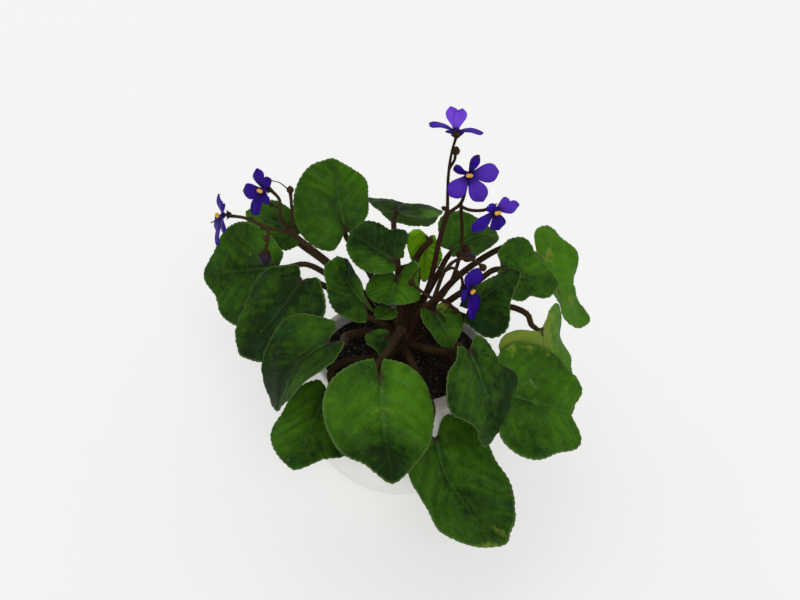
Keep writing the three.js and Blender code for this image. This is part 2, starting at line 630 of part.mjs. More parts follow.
// A flower's calyx: a small cup behind the corolla and five narrow sepals
function calyx(flower) {
  const { centre, face, up, right } = flowerFrame(flower);
  const heart = centre.clone().addScaledVector(face, -2.9);
  const parts = [knob(heart.toArray(), face.toArray(), 1.7, 2.8)];
  for (let i = 0; i < 5; i += 1) {
    const turn = (2 * Math.PI * (i + 0.5)) / 5;
    const out = up.clone().multiplyScalar(Math.cos(turn)).addScaledVector(right, Math.sin(turn));
    const bend = heart.clone().addScaledVector(out, 1.8).addScaledVector(face, -0.2);
    const tip = heart.clone().addScaledVector(out, 3.6).addScaledVector(face, -1.4);
    parts.push(tube([heart, bend, tip].map((p) => p.toArray()), 0.7, 0.4, 4, 1));
  }
  return parts;
}

function stems() {
  const grown = [crown(), ...Object.values(LEAVES).map(petiole)];
  STEMS.forEach(({ points, radii }) => {
    const long = points.length > 4;
    grown.push(tube(points, radii[0], radii[1], long ? STALK_SIDES : PEDICEL_SIDES, long ? 9 : 4));
  });
  KNOBS.forEach(([centre, direction, radius, length]) => grown.push(knob(centre, direction, radius, length)));
  Object.values(FLOWERS).forEach((flower) => grown.push(...calyx(flower)));
  return fuse(grown);
}

const violet = new THREE.Group();
violet.name = "potted_african_violet";
violet.add(named("pot", pot(), COLOURS.pot));
violet.add(named("soil", soil(), COLOURS.soil));
violet.add(named("crown_and_stems", stems(), COLOURS.stem));
Object.entries(LEAVES).forEach(([name, leaf]) => violet.add(named(name, blade(leaf), COLOURS.leaf)));
Object.entries(FLOWERS).forEach(([name, flower]) => {
  violet.add(named(`${name}_petals`, corolla(flower), COLOURS.petal));
  violet.add(named(`${name}_anthers`, anthers(flower), COLOURS.anther));
});
Object.entries(BUDS).forEach(([name, [centre, direction, radius, length]]) => {
  violet.add(named(name, knob(centre, direction, radius, length, 9, 6), COLOURS.bud));
});

export default violet;
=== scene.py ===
import math

import bmesh
import bpy
import numpy as np
from bpy.props import FloatProperty, FloatVectorProperty, IntProperty, PointerProperty
from mathutils import Matrix, Vector


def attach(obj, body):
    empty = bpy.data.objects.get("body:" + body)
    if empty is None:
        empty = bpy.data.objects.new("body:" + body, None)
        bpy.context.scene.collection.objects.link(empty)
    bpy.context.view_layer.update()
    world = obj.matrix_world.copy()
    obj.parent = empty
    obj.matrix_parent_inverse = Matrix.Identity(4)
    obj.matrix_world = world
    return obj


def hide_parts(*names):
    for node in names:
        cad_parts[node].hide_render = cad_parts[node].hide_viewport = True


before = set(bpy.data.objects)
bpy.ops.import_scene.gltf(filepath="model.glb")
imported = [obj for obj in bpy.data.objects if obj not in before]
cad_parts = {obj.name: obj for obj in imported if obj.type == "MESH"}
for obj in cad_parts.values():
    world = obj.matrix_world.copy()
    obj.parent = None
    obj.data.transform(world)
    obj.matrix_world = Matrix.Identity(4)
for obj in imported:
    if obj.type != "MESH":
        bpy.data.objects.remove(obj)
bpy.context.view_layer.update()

bl_info = {
    "name": "Potted African Violet",
    "version": (1, 0, 0),
    "blender": (4, 5, 0),
    "location": "3D View > Sidebar > Violet",
    "description": "Dresses a potted african violet: pot, soil, stems, leaves, flowers and buds",
    "category": "Object",
}

MM = 0.001
BODY = "root"

# Pot and soil, in millimetres
POT_HEIGHT = 86
POT_FOOT_RADIUS = 35
POT_FOOT_HEIGHT = 1
POT_BELLY_RADIUS = 58
POT_BELLY_HEIGHT = 44
POT_FLARE = 0.6
POT_NECK_RADIUS = 49
POT_RIM_RADIUS = 49.8
POT_RIM_DEPTH = 7
POT_WALL = 2
POT_FLOOR = 2.5
SOIL_HEIGHT = 77
STEM_HOLE_RADIUS = 7.3
STEM_HOLE_DEPTH = 15
# Space left between separate pieces
GAP = 0.3
POT_SIDES = 144
SOIL_SIDES = 200
SOIL_RINGS = 60
# Rolled lip: how far each point is out from the rim's radius and below the pot's top
POT_LIP = (
    (-0.7, 6.8), (0, 6.4), (0.35, 4.6), (0.4, 2.2), (0.2, 1.2), (-0.4, 0.4), (-1.2, 0.05), (-2.2, 0),
    (-3, 0.3), (-3.6, 0.9), (-3.8, 2.4))
# Where the rim is stained brown by soil, in the gap right of the front leaf
RIM_STAIN = (21, -44, 84)

# Crown, with its rounded top: how far each point is in from its radius and below its top
CROWN_RADIUS = 6.8
CROWN_TOP = 99
CROWN_SIDES = 32
CROWN_END = ((0, 14), (0.4, 9), (1.4, 4), (4, 1))

# Leaves: joint with the petiole, tip, width, turn about the midrib, arch of the midrib, cup of the
# sides, V fold, sideways bend, lobe length, notch angle; edge and rise move the margin out and up at
# PLACES points round the blade; via gives points the petiole passes; light is the leaf's tone, partly
# its own green and partly painted light and shade for how brightly the blade is lit, and a high tone
# gives the underside the painted glow of light shining through it.
# SPOTS names the lists of soft spots, each as (along, across, radius, strength): shade makes the blade
# lighter or darker, partly in its own tone and partly as painted light and shade, yellow gives faded
# patches and speck gives dry dots.
PLACES = 12
SPOTS = ("shade", "yellow", "speck")
USUAL_LOBE = 0.18
USUAL_NOTCH = 22
# How far the margin is drawn out at the tip, over what angle, and how far the whole margin is moved out
TIP_REACH = 1.5
TIP_ANGLE = 0.16
MARGIN_SHIFT = 0.25
# Distance between side veins, as a share of the blade's length
VEIN_STEP = 0.19
# Widths under which a blade has fewer points, and under which its relief is shallower
SMALL_BLADE = 25
FULL_BLADE = 45
LEAVES = {
    "leaf_front": dict(
        joint=(-10, -61, 115), tip=(-3, -96, 85), width=54, roll=-18, arch=-2, lobe=0.2, notch=5.4,
        edge=(0, -4, 0, 1, 2, 0, -1, -1, -1, 0, 0, -1), via=((-1, -14, 107), (-5, -36, 115)), light=0.8,
        shade=(
            (0.35, -0.1, 0.4, 0.3), (0.85, 0.3, 0.45, -0.7), (0.8, -0.3, 0.3, -0.3), (-0.05, 0.4, 0.3, -0.5)),
        yellow=((0.3, -0.1, 0.2, 0.3),), speck=((0.5, 0.3, 0.04, 0.7), (0.62, -0.1, 0.03, 0.6))),
    "leaf_front_left": dict(
        joint=(-37, -45, 91), tip=(-49, -81, 74), width=44, roll=5, cup=-3,
        edge=(0, 1, 2, -2, -2, -2, -1, 0, 0, 1, 2, -2),
        via=((-12, -20, 93), (-30, -26, 94), (-37, -34, 93)), light=0.5,
        shade=((0.35, 0.7, 0.35, 0.4), (0.8, -0.6, 0.35, -0.3), (0.1, -0.1, 0.25, -0.3))),
    "leaf_front_right": dict(
        joint=(18, -61, 76), tip=(50, -100, 48), width=57, roll=-15, cup=6, bend=8,
        edge=(0, -1, 0, -4, 0, 0, -1, 0, 1, 1, 4, 2), via=((4, -21, 94), (12, -42, 91), (16, -54, 88)),
        light=0.55, shade=((0.05, 0, 0.45, -0.05), (0.8, -0.4, 0.4, -0.3)),
        yellow=((0.97, 0.3, 0.1, 0.7), (0.8, -0.97, 0.08, 0.6), (0.93, -0.2, 0.08, 0.5))),
    "leaf_left_lower": dict(
        joint=(-36, -39, 117), tip=(-65, -52, 85), width=49, roll=4, arch=6, cup=6,
        edge=(-2, 3, 2, 2, 3, 1, 2, 0, 1, 0, 0, -1), via=((-16, -3, 97), (-30, -18, 105)), light=0.18,
        shade=((0.1, 0.6, 0.3, 0.3), (0.45, -0.75, 0.25, 0.35), (0.8, 0.3, 0.4, -0.2))),
    "leaf_left_middle": dict(
        joint=(-56, 6, 124), tip=(-87, -18, 91), width=55, roll=-9, arch=-2,
        edge=(0, 0, -3, 0, -1, -4, 0, -1, 1, 0, 0, 1), light=0.22,
        shade=((0.1, 0, 0.2, -0.3), (0.45, 0.5, 0.35, -0.1), (0.8, 0, 0.25, -0.2), (0.8, 0.7, 0.25, 0.25))),
    "leaf_left_far": dict(
        joint=(-74, 30, 117), tip=(-122, 46, 101), width=59, roll=-60, cup=5,
        edge=(2, -3, -1, -1, -4, -5, -1, 0, 1, 4, 4, -1), via=((-30, 24, 104), (-58, 36, 116)), light=0.3,
        shade=((0.1, 0.6, 0.25, 0.5), (0.4, 0.3, 0.3, -0.2), (0.8, 0.6, 0.3, 0.15)),
        speck=((0.35, 0.3, 0.03, 1),)),
    "leaf_left_back": dict(
        joint=(-68, 63, 121), tip=(-98, 65, 135), width=34, roll=-20, arch=2,
        edge=(-1, -1, 1, -1, -3, -4, -1, -1, 1, -1, 0, 0), light=0.5,
        shade=((0.4, 0.1, 0.3, -0.3), (0.1, -0.6, 0.25, -0.3), (0.85, -0.4, 0.25, 0.3))),
    "leaf_back_left": dict(
        joint=(-36, 53, 130), tip=(-45, 72, 168), width=48, roll=-10, arch=-4, cup=-4,
        edge=(-1, -3, -2, -6, -7, -7, 1, 5, 5, 4, 4, 3), light=0.5,
        shade=((0.6, 0.8, 0.4, 0.2), (0.4, -0.1, 0.3, -0.1), (0.1, 0.6, 0.3, -0.2)),
        speck=((0.55, 0.05, 0.03, 0.9),)),
    "leaf_centre_cupped": dict(
        joint=(-6, 17, 132), tip=(-31, 29, 142), width=33, roll=-28, cup=4,
        edge=(-1, 1, -1, -3, 2, -2, 1, -1, -1, 0, 0, 0), via=((6, 20, 104), (7, 33, 118)), light=0.4,
        shade=((0.1, -0.6, 0.25, 0.4), (0.35, 0.4, 0.4, -0.4), (0.8, 0, 0.4, -0.2))),
    "leaf_centre_left": dict(
        joint=(-20, -3, 113), tip=(-37, 11, 136), width=32, roll=18, arch=-2, cup=-5,
        edge=(-1, 0, 0, 0, 0, -1, 1, 2, 1, 0, 0, 3), rise=(0, 2, 1, 1, -3, -2, 0, 0, 0, 0, 0, 0),
        light=0.4,
        shade=((0.3, -0.6, 0.4, -0.25), (0.15, 0.6, 0.3, 0.5), (0.4, 0.8, 0.3, 0.3), (0.8, 0.6, 0.3, -0.4))),
    "leaf_centre": dict(
        joint=(-4, 17, 122), tip=(-9, -5, 115), width=31, roll=-4, arch=-1, cup=-2,
        edge=(-4, -1, 0, 0, 0, 0, 0, 4, -1, 0, -2, -3), rise=(0, 0, 0, 0, 0, 0, 0, 8, 2, 0, 0, 0),
        light=0.35, shade=((0.3, -0.6, 0.35, 0.5), (0.75, -0.7, 0.3, 0.4), (0.4, 0.8, 0.25, 0.35))),
    "leaf_centre_lower": dict(
        joint=(-7, 2, 110), tip=(-14, -6, 109), width=14, light=0.4),
    "leaf_centre_young": dict(
        joint=(-7, -22, 109), tip=(-17, -33, 112), width=16, roll=-20, arch=-1, cup=-2,
        edge=(0, 0, 0, 0, 0, 0, 0, -2, -2, -1, 2, 0), light=0.35, shade=((0.5, -0.5, 0.4, -0.2),)),
    "leaf_right_small": dict(
        joint=(17, -6, 114), tip=(27, -19, 101), width=22, roll=4, arch=1, cup=2,
        edge=(-1, 0, -1, -2, 0, 2, 0, 1, 1, 1, 0, -1), light=0.35,
        shade=((0.5, 0, 0.3, 0.1), (0.75, -0.6, 0.3, 0.3)), yellow=((-0.05, -0.6, 0.28, 0.8),)),
    "leaf_right_folded": dict(
        joint=(32, -47, 121), tip=(42, -69, 84), width=42, roll=-22, arch=5, lobe=0.1, notch=18,
        edge=(2, -4, -2, 5, 2, -2, 3, 2, -4, 5, 1, 1), via=((14, -18, 98), (28, -28, 105)), light=0.25,
        shade=((0.45, 0.25, 0.3, 0.3), (0.6, -0.5, 0.4, -0.2)), yellow=((-0.05, 0.75, 0.06, 0.9),)),
    "leaf_right_large": dict(
        joint=(53, -43, 91), tip=(94, -44, 78), width=61, roll=28, cup=2,
        edge=(-7, 4, -1, 0, 0, -1, 1, 3, 3, 1, 1, 3), via=((18, -12, 92), (38, -30, 91)), light=0.4,
        shade=((0.1, -0.7, 0.25, 0.3), (0.35, 0.5, 0.35, -0.05), (0.75, 0, 0.3, 0.35)),
        yellow=((0, -0.85, 0.1, 0.6), (0.22, -0.95, 0.1, 0.7), (0.5, -0.95, 0.08, 0.6)),
        speck=((0.32, -0.35, 0.035, 1.1), (0.37, -0.27, 0.025, 1), (0.75, -0.4, 0.025, 0.9))),
    "leaf_right_behind": dict(
        joint=(76, -6, 105), tip=(102, -18, 52), width=59, roll=23, arch=-6, cup=-5, lobe=0.3, notch=60,
        edge=(-4, 0, 0, 0, 0, 15, 2, 3, -4, -5, -5, -5), rise=(0, 0, 0, 0, 0, -2, 0, -3, -2, -6, -1, -2),
        via=((30, 7, 98), (56, 8, 110), (69, 2, 109)), light=0.9,
        shade=((-0.1, 0.8, 0.4, 1),), yellow=((-0.1, 0.6, 0.5, 1.8), (0.25, 0.95, 0.2, 0.8))),
    "leaf_right_centre": dict(
        joint=(34, -7, 118), tip=(59, -4, 139), width=34, roll=8, cup=-6,
        edge=(0, -3, -2, 3, 4, 0, 0, -2, -2, -1, -2, 0), via=((9, 3, 100), (22, 5, 108)), light=0.05,
        shade=((0.4, -0.7, 0.25, 0.45), (0.75, 0, 0.25, 0.25))),
    "leaf_right_upper": dict(
        joint=(54, 16, 131), tip=(85, 18, 120), width=34, roll=31, arch=-4, cup=3,
        edge=(1, 1, -4, 0, 1, -3, 0, 0, 3, 5, 0, 0), via=((20, 13, 103), (42, 18, 120)), light=0.45,
        shade=((0.4, 0.4, 0.35, -0.2), (0.75, -0.6, 0.2, 0.4))),
    "leaf_right_far": dict(
        joint=(82, 49, 115), tip=(115, 35, 84), width=52, arch=-2, fold=7, lobe=0.3,
        edge=(0, 2, 2, -1, -4, -2, 0, 5, 4, 3, -3, -5), rise=(0, -4, -2, 7, 8, 8, 0, 4, 3, 4, -3, -3),
        via=((34, 38, 112), (64, 46, 128)), light=0.9, shade=((0.5, 0.3, 0.3, 0.2),),
        yellow=((0.06, -0.37, 0.12, 0.8), (0.66, -0.09, 0.1, 0.7))),
    "leaf_back_folded": dict(
        joint=(-6, 73, 135), tip=(3, 109, 106), width=48, roll=2, arch=10,
        edge=(-2, 3, 1, 0, 5, 4, 0, -2, 0, 1, 4, 4), light=0.15,
        shade=((0.06, 0.95, 0.15, 1.1), (0.57, 0.95, 0.15, 1))),
    "leaf_back_hanging": dict(
        joint=(13, 31, 140), tip=(12, 37, 111), width=29, roll=3, arch=2,
        edge=(3, -1, -3, -6, -7, -7, 0, 3, -2, -4, -4, -3), via=((4, 22, 112), (7, 29, 128)), light=1.3),
    "leaf_back_right": dict(
        joint=(27, 39, 128), tip=(54, 58, 132), width=35, roll=14, arch=2, cup=5,
        edge=(-1, -1, -2, -3, -2, -3, 0, -2, 2, 2, 2, -1), via=((14, 28, 104), (21, 34, 116)), light=0.45,
        shade=((0.6, 0.5, 0.4, -0.15), (0.3, -0.5, 0.4, 0.1))),
}

# Petioles: points of each, its radius at the crown, by the blade and at its last points, and how far from
# the axis and between which heights it starts. PETIOLE_TOUCH has its last three turning points, each as
# how far it is along the blade from the joint and how far under it.
PETIOLE_POINTS = 40
PETIOLE_RADIUS = 2.3
PETIOLE_END = 1.55
PETIOLE_LAST = (1.5, 1.35, 1.1, 0.6)
PETIOLE_ROOT = 2.5
LOWEST_ROOT = 85
HIGHEST_ROOT = 93
PETIOLE_TOUCH = ((-2.5, 6.3), (1.5, 1.8), (4.2, 0.8))

# Flower stalks and pedicels: the points that each passes, then its radius at both ends
STEMS = [
    (((1, 3, 90), (5, 8, 103), (13, 10, 118), (18, 13, 148), (21, 12, 165)), 1.7, 1.3),
    (((21, 12, 164), (20, 12, 184), (20, 3, 200), (21, -4, 210.5)), 0.9, 0.55),
    (((21, 12, 164), (28, 17, 168), (30, 18, 177), (30, 14, 185)), 1, 0.8),
    (((27, 16, 167), (32, 9, 168), (38, 3, 171), (42, -1, 175)), 0.9, 0.8),
    (((3, 3, 90), (9, 5, 104), (22, 8, 116), (29, 15, 132), (31, 22, 142), (28, 17, 168)), 1.3, 0.8),
    (((20, 9, 190), (22, 6, 196), (22, 5, 199)), 0.7, 0.7),
    (((31, 21, 141), (34, 23, 140), (34, 23, 137)), 0.8, 0.8),
    (((-3, 3, 90), (-9, 12, 100), (-25, 21, 109), (-43, 20, 128), (-62, 13, 150)), 1.7, 1.3),
    (((-61, 13, 149), (-66, 11, 160), (-66, 13, 168), (-71, 18, 171)), 1, 0.8),
    (((-61, 13, 149), (-74, 10, 154), (-84, 9, 159), (-92, 9, 160)), 1, 0.8),
    (((-61, 13, 149), (-60, 13, 162), (-60, 13, 172)), 0.9, 0.8),
    (((-73, 10, 153), (-72.5, 8, 149), (-74.5, 6.9, 141.2)), 0.9, 0.8),
    (((-66, 12, 161), (-68, 16, 162), (-71, 19, 162)), 0.6, 0.6),
    (((-61, 13, 174), (-65, 12, 178), (-69, 12, 179)), 0.35, 0.2),
    (((3, -2, 90), (7, -1, 107), (17, -4, 122)), 1.9, 1.4),
    (((16, -4, 121), (19, -2, 132), (21, -2, 139)), 1.3, 1),
    (((21, -2, 138), (25, -6, 142), (29, -10, 139), (30, -12, 135)), 0.8, 0.8),
    (((21, -2, 138), (24, -1, 142), (30.1, 3.3, 143)), 0.9, 0.8),
    (((21, -2, 138), (27, -2, 145), (35, -2, 145), (41, 0.5, 139.5)), 0.8, 0.8),
    (((16, -4, 121), (11, 0, 122), (5, 5, 124)), 0.9, 0.8),
    (((4, 6, 126), (6, 9, 129), (8, 12, 130)), 0.5, 0.3),
    (((16, -4, 121), (22, -5, 121), (27, -9, 119)), 0.9, 0.8),
]

# Small closed buds and spent calyces: centre, direction, radius, length
KNOBS = [
    ((22, 4, 201), (0.2, -0.3, 1), 2.1, 4.6),
    ((19, 12, 167), (-1, 0, 0.6), 1.3, 3),
    ((34, 23, 137), (1, 0.2, -0.6), 2.6, 6),
    ((30, 21, 135), (-0.4, 0, -1), 2, 4.5),
    ((-74, 8, 148), (-0.6, 0, -1), 1.7, 4),
    ((-75, 10, 153), (-1, -0.2, -0.2), 1.4, 4),
    ((-72, 19.5, 162), (-1, 0.4, 0.1), 1.4, 3.2),
    ((-81, 10, 158), (-0.4, -0.3, 1), 1.4, 3.4),
    ((-60, 13, 174), (0, 0, 1), 1.9, 4.2),
    ((4, 6, 125), (-0.2, 0.3, 1), 1.9, 4.4),
    ((28, -10, 118), (0.6, -0.5, -0.5), 1.7, 4),
    ((41, 0.5, 139), (0.3, 0, -1), 2.1, 4.4),
]

# Closed violet buds: centre, direction away from the stalk, radius, length
BUDS = {
    "bud_left": ((-75, 6.5, 136.5), (-0.1, -0.1, -1), 3.4, 8.4),
    "bud_right": ((34, 4.5, 143), (1, 0.3, 0), 2.6, 7.2),
}

# Open flowers: centre, facing, and petals as (angle, length, width, lift, twist)
FLOWERS = {
    "flower_top": ((21, -1, 212), (0, 0.97, 0.25), (
        (-13, 10.5, 6, 20, 0), (18, 11.5, 6, 20, 0), (79, 13, 8, 8, -76), (180, 11, 9, 50, 0),
        (263, 13, 8, 8, 76))),
    "flower_upper": ((30, 11, 186), (0.02, -0.95, 0.3), (
        (300, 10.5, 5.5, 30, -50), (21, 12, 5.5, 25, -40), (81, 15, 9.5, 8, 0), (148, 15, 9.5, 8, 0),
        (220, 14, 9.5, 8, 0))),
    "flower_middle": ((43, -3.5, 174.5), (0.3, -0.88, -0.1), (
        (305, 6, 5, 10, 0), (40, 8.5, 6.5, 10, 0), (76, 12, 7.5, 10, 0), (166, 11.5, 8.5, 10, 0),
        (233, 15.5, 8, 10, 0))),
    "flower_left": ((-74, 15.7, 172), (-0.6, -0.78, 0.15), (
        (338, 11.5, 9, 8, 0), (30, 9.5, 5, 8, 20), (149, 7.5, 7, 8, 0), (202, 16.5, 7.5, 8, 0),
        (252, 15, 8.5, 8, 0))),
    "flower_far_left": ((-95.1, 8.9, 160.3), (-0.88, -0.45, 0.15), (
        (334, 11, 8, 8, 0), (26, 10, 8, 8, 0), (110, 12, 8, 8, 0), (187, 19, 8, 8, 0), (220, 15, 8, 8, 0))),
    "flower_right": ((32.5, -13.5, 134), (0.8, -0.6, 0), (
        (338, 14, 7, 8, 0), (27, 12.5, 9, 8, -30), (162, 14.5, 9, 20, 0), (185, 17, 8, 20, 0),
        (265, 8, 8, 8, 0))),
}

# Middle of a flower: radius of its tube, place and size of the calyx behind it and the anthers before it
FLOWER_TUBE = 1.9
CALYX_BACK = 2.9
CALYX_RADIUS = 1.7
SEPALS = 5
ANTHER_AHEAD = 3
ANTHER_ASIDE = 0.7
ANTHER_RADIUS = 1.05
ANTHER_LENGTH = 2.2

# How much painted light shines through each petal, below 0 for painted shade that darkens it, and the one
# petal whose tip has dried
PETAL_LIGHT_AND_SHADE = {
    "flower_top": (0.9, 1, 0.15, 0, 0.15),
    "flower_upper": (-0.4, -0.2, 0.3, 0.25, 0.25),
    "flower_middle": (0, 0.3, 0.3, -0.5, -0.2),
    "flower_left": (-0.4, -0.5, -0.5, -0.5, -0.3),
    "flower_far_left": (0, -0.2, -0.3, -0.3, -0.2),
    "flower_right": (-0.3, -0.3, -0.4, -0.4, -0.5),
}
DRY_PETAL = ("flower_upper", 1)

# Petals: points along and across, distance of the first ones from the flower's centre, height of the
# bulge, and the share of the length where the width is full
PETAL_ROWS = 17
PETAL_COLUMNS = 13
PETAL_START = 1.2
PETAL_BULGE = 1.1
PETAL_FULL = 0.66

# Camera: place, lens and sensor in millimetres, pitch and tilt in degrees
CAMERA_PLACE = (-2, -280, 306)
CAMERA_PITCH = 34
CAMERA_TILT = 2
CAMERA_LENS = 27.9
SENSOR_WIDTH = 36

# Suns: name, direction that each shines from, strength and spread in degrees
LIGHTS = (("key_light", (0.35, -1.2, 1), 1.5, 40), ("fill_light", (-0.5, 0.2, 0.9), 0.3, 70))
SKY_STRENGTH = 0.63
FLOOR_REACH = 6000
# The floor's own glow: painted light that keeps it bright and softens the shadows on it
FLOOR_GLOW = 0.325


def measure(name, description, value):
    """A length, with its default in millimetres."""
    return FloatProperty(name=name, description=description, default=value * MM, unit="LENGTH")


def amount(name, description, value):
    """A plain number, whole where its default is."""
    kind = IntProperty if isinstance(value, int) else FloatProperty
    return kind(name=name, description=description, default=value)


def colour(name, description, value):
    """A colour in linear red, green and blue."""
    return FloatVectorProperty(
        name=name, description=description, subtype="COLOR", size=3, min=0, max=1, default=value)


class VioletSizes(bpy.types.PropertyGroup):
    leaf_thickness: measure("Leaf thickness", "Thickness of a leaf blade", 0.7)
    leaf_spokes: amount("Leaf spokes", "Points round a leaf's margin", 180)
    leaf_rings: amount("Leaf rings", "Rings from a leaf's middle to its margin", 18)
    tooth_pitch: measure("Tooth pitch", "Distance between margin teeth", 3.1)
    tooth_depth: measure("Tooth depth", "Depth of the margin teeth", 0.55)
    vein_depth: measure("Vein depth", "Depth of the sunken veins", 0.3)
    quilting: measure("Quilting", "Swelling of a blade between its veins", 0.8)
    petal_thickness: measure("Petal thickness", "Thickness of a petal", 0.45)
    stem_sides: amount("Stem sides", "Sides of a stem's section", 12)
    hair_length: measure("Hair length", "Length of the hairs on stems", 1.1)
    hair_width: measure("Hair width", "Width of a hair at its root", 0.09)
    stem_hairs: amount("Stem hairs", "Hairs on a square metre of stem", 0.7e6)
    margin_hairs: amount("Margin hairs", "Hairs on a square metre of leaf margin", 1.2e6)
    crumb_size: measure("Crumb size", "Usual width of a soil crumb", 1.5)
    crumbs: amount("Crumbs", "Crumbs on a square metre of soil", 0.5e6)
    seed: amount("Seed", "Seed of every scatter", 7)


class VioletColours(bpy.types.PropertyGroup):
    pot: colour("Pot", "Glossy white plastic", (0.76, 0.75, 0.72))
    grime: colour("Grime", "Soil stains on the rim", (0.13, 0.1, 0.07))
    soil: colour("Soil", "Damp peat", (0.006, 0.005, 0.004))
    crumb: colour("Crumb", "Bark and fibre crumbs", (0.09, 0.035, 0.014))
    crumb_pale: colour("Pale crumb", "The few pale fibres", (0.24, 0.17, 0.1))
    leaf_dark: colour("Leaf dark", "Shaded upper side of a leaf", (0.0045, 0.017, 0.0012))
    leaf_light: colour("Leaf light", "Brighter upper side of a leaf", (0.048, 0.142, 0.004))
    leaf_yellow: colour("Leaf yellow", "Yellowed patches and margin", (0.17, 0.2, 0.025))
    leaf_blue: colour("Leaf blue", "Cooler shaded green", (0.009, 0.04, 0.01))
    leaf_edge: colour("Leaf edge", "Thin pale line along the margin", (0.1, 0.16, 0.045))
    leaf_under: colour("Leaf underside", "Pale underside", (0.03, 0.072, 0.013))
    leaf_glow: colour("Leaf glow", "Underside that light shines through", (0.17, 0.4, 0.006))
    speck: colour("Speck", "Small dry spots on leaves", (0.26, 0.29, 0.15))
    vein: colour("Vein", "Veins on the upper side", (0.07, 0.16, 0.03))
    vein_under: colour("Vein underside", "Reddish veins on the underside", (0.11, 0.06, 0.03))
    joint: colour("Joint", "Purple-brown spot where the petiole meets the blade", (0.03, 0.012, 0.01))
    stem: colour("Stem", "Brown stalks and petioles", (0.024, 0.009, 0.005))
    stem_green: colour("Stem green", "Greener parts of stems", (0.036, 0.027, 0.008))
    hair: colour("Hair", "Pale plant hairs", (0.1, 0.075, 0.045))
    petal: colour("Petal", "Violet petals", (0.023, 0.002, 0.24))
    petal_deep: colour("Petal deep", "Deeper violet at veins and base", (0.009, 0.001, 0.065))
    petal_pale: colour("Petal pale", "Violet of the petals lit from behind", (0.17, 0.06, 0.62))
    anther: colour("Anther", "Yellow anthers", (0.722, 0.36, 0.024))
    bud: colour("Bud", "Closed violet bud", (0.016, 0.007, 0.022))
    floor: colour("Floor", "Plain pale floor", (0.58, 0.58, 0.576))


def pick(sockets, key):
    """The socket at this place, or the one in use that has this name or identifier."""
    if isinstance(key, int):
        return sockets[key]
    return next(s for s in sockets if s.enabled and key in (s.identifier, s.name))


def add_node(tree, kind, settings=None, inputs=None, output=0):
    """Adds a node, sets its inputs to values or links them, and gives one of its outputs."""
    made = tree.nodes.new(kind)
    for key, value in (settings or {}).items():
        setattr(made, key, value)
    for key, value in (inputs or {}).items():
        socket = pick(made.inputs, key)
        if isinstance(value, bpy.types.NodeSocket):
            tree.links.new(value, socket)
        elif socket.type == "RGBA":
            socket.default_value = (*value, 1)
        else:
            socket.default_value = value
    return pick(made.outputs, output)


class Maths:
    """A socket that Python's signs work on, each adding a Math node."""

    def __init__(self, surface, socket):
        self.surface = surface
        self.socket = socket

    def _join(self, operation, a, b, clamp=False):
        return self.surface.node(
            "ShaderNodeMath", {"operation": operation, "use_clamp": clamp}, {0: a, 1: b})

    def __add__(self, other):
        return self._join("ADD", self, other)

    def __sub__(self, other):
        return self._join("SUBTRACT", self, other)

    def __rsub__(self, other):
        return self._join("SUBTRACT", other, self)

    def __mul__(self, other):
        return self._join("MULTIPLY", self, other)

    def __truediv__(self, other):
        return self._join("DIVIDE", self, other)

    __radd__ = __add__

    def clamp(self):
        """Kept from 0 to 1."""
        return self._join("ADD", self, 0.0, clamp=True)

    def above(self, low, high):
        """0 under low, 1 over high, smooth between."""
        return self.surface.node("ShaderNodeMapRange", {"interpolation_type": "SMOOTHSTEP", "clamp": True}, {
            "Value": self, "From Min": low, "From Max": high, "To Min": 0.0, "To Max": 1.0})


class Surface:
    """A material whose nodes are written as expressions."""

    def __init__(self, name):
        self.material = bpy.data.materials.new(name)
        self.material.use_nodes = True
        self.tree = self.material.node_tree
        self.tree.nodes.clear()
        self.place = self.node("ShaderNodeTexCoord", output="Object")

    def node(self, kind, settings=None, inputs=None, output=0):
        given = {k: v.socket if isinstance(v, Maths) else v for k, v in (inputs or {}).items()}
        return Maths(self, add_node(self.tree, kind, settings, given, output))

    def mix(self, factor, a, b):
        """Colour a where the factor is 0 and b where it is 1."""
        return self.node("ShaderNodeMix", {"data_type": "RGBA", "clamp_factor": True}, {
            "Factor_Float": factor, "A_Color": a, "B_Color": b}, "Result_Color")

    def from_axis(self):
        """Distance from the pot's axis in millimetres."""
        flat = self.node("ShaderNodeVectorMath", {"operation": "MULTIPLY"}, {0: self.place, 1: (1, 1, 0)})
        return self.node("ShaderNodeVectorMath", {"operation": "LENGTH"}, {0: flat}, "Value") / MM

    def noise(self, size, detail=3.0, roughness=0.55):
        """Noise with features of about the given size in millimetres."""
        return self.node("ShaderNodeTexNoise", None, {
            "Vector": self.place, "Scale": 1 / (size * MM), "Detail": detail, "Roughness": roughness}, "Fac")

    def mark(self, name):
        """The number that the mesh carries under this name."""
        return self.node("ShaderNodeAttribute", {"attribute_name": name}, None, "Fac")

    def height(self):
        """Height over the pot's base in millimetres."""
        return self.node("ShaderNodeSeparateXYZ", None, {"Vector": self.place}, "Z") / MM

    def bump(self, height, distance):
        """Relief, with its distance in millimetres."""
        return self.node("ShaderNodeBump", None, {"Height": height, "Distance": distance * MM}, "Normal")

    def finish(self, shade, roughness, normal=None, others=None):
        """The material, of one shader with these inputs."""
        inputs = {"Base Color": shade, "Roughness": roughness, **(others or {})}
        if normal:
            inputs["Normal"] = normal
        shader = self.node("ShaderNodeBsdfPrincipled", None, inputs, "BSDF")
        end = self.tree.nodes.new("ShaderNodeOutputMaterial")
        self.tree.links.new(shader.socket, end.inputs["Surface"])
        return self.material


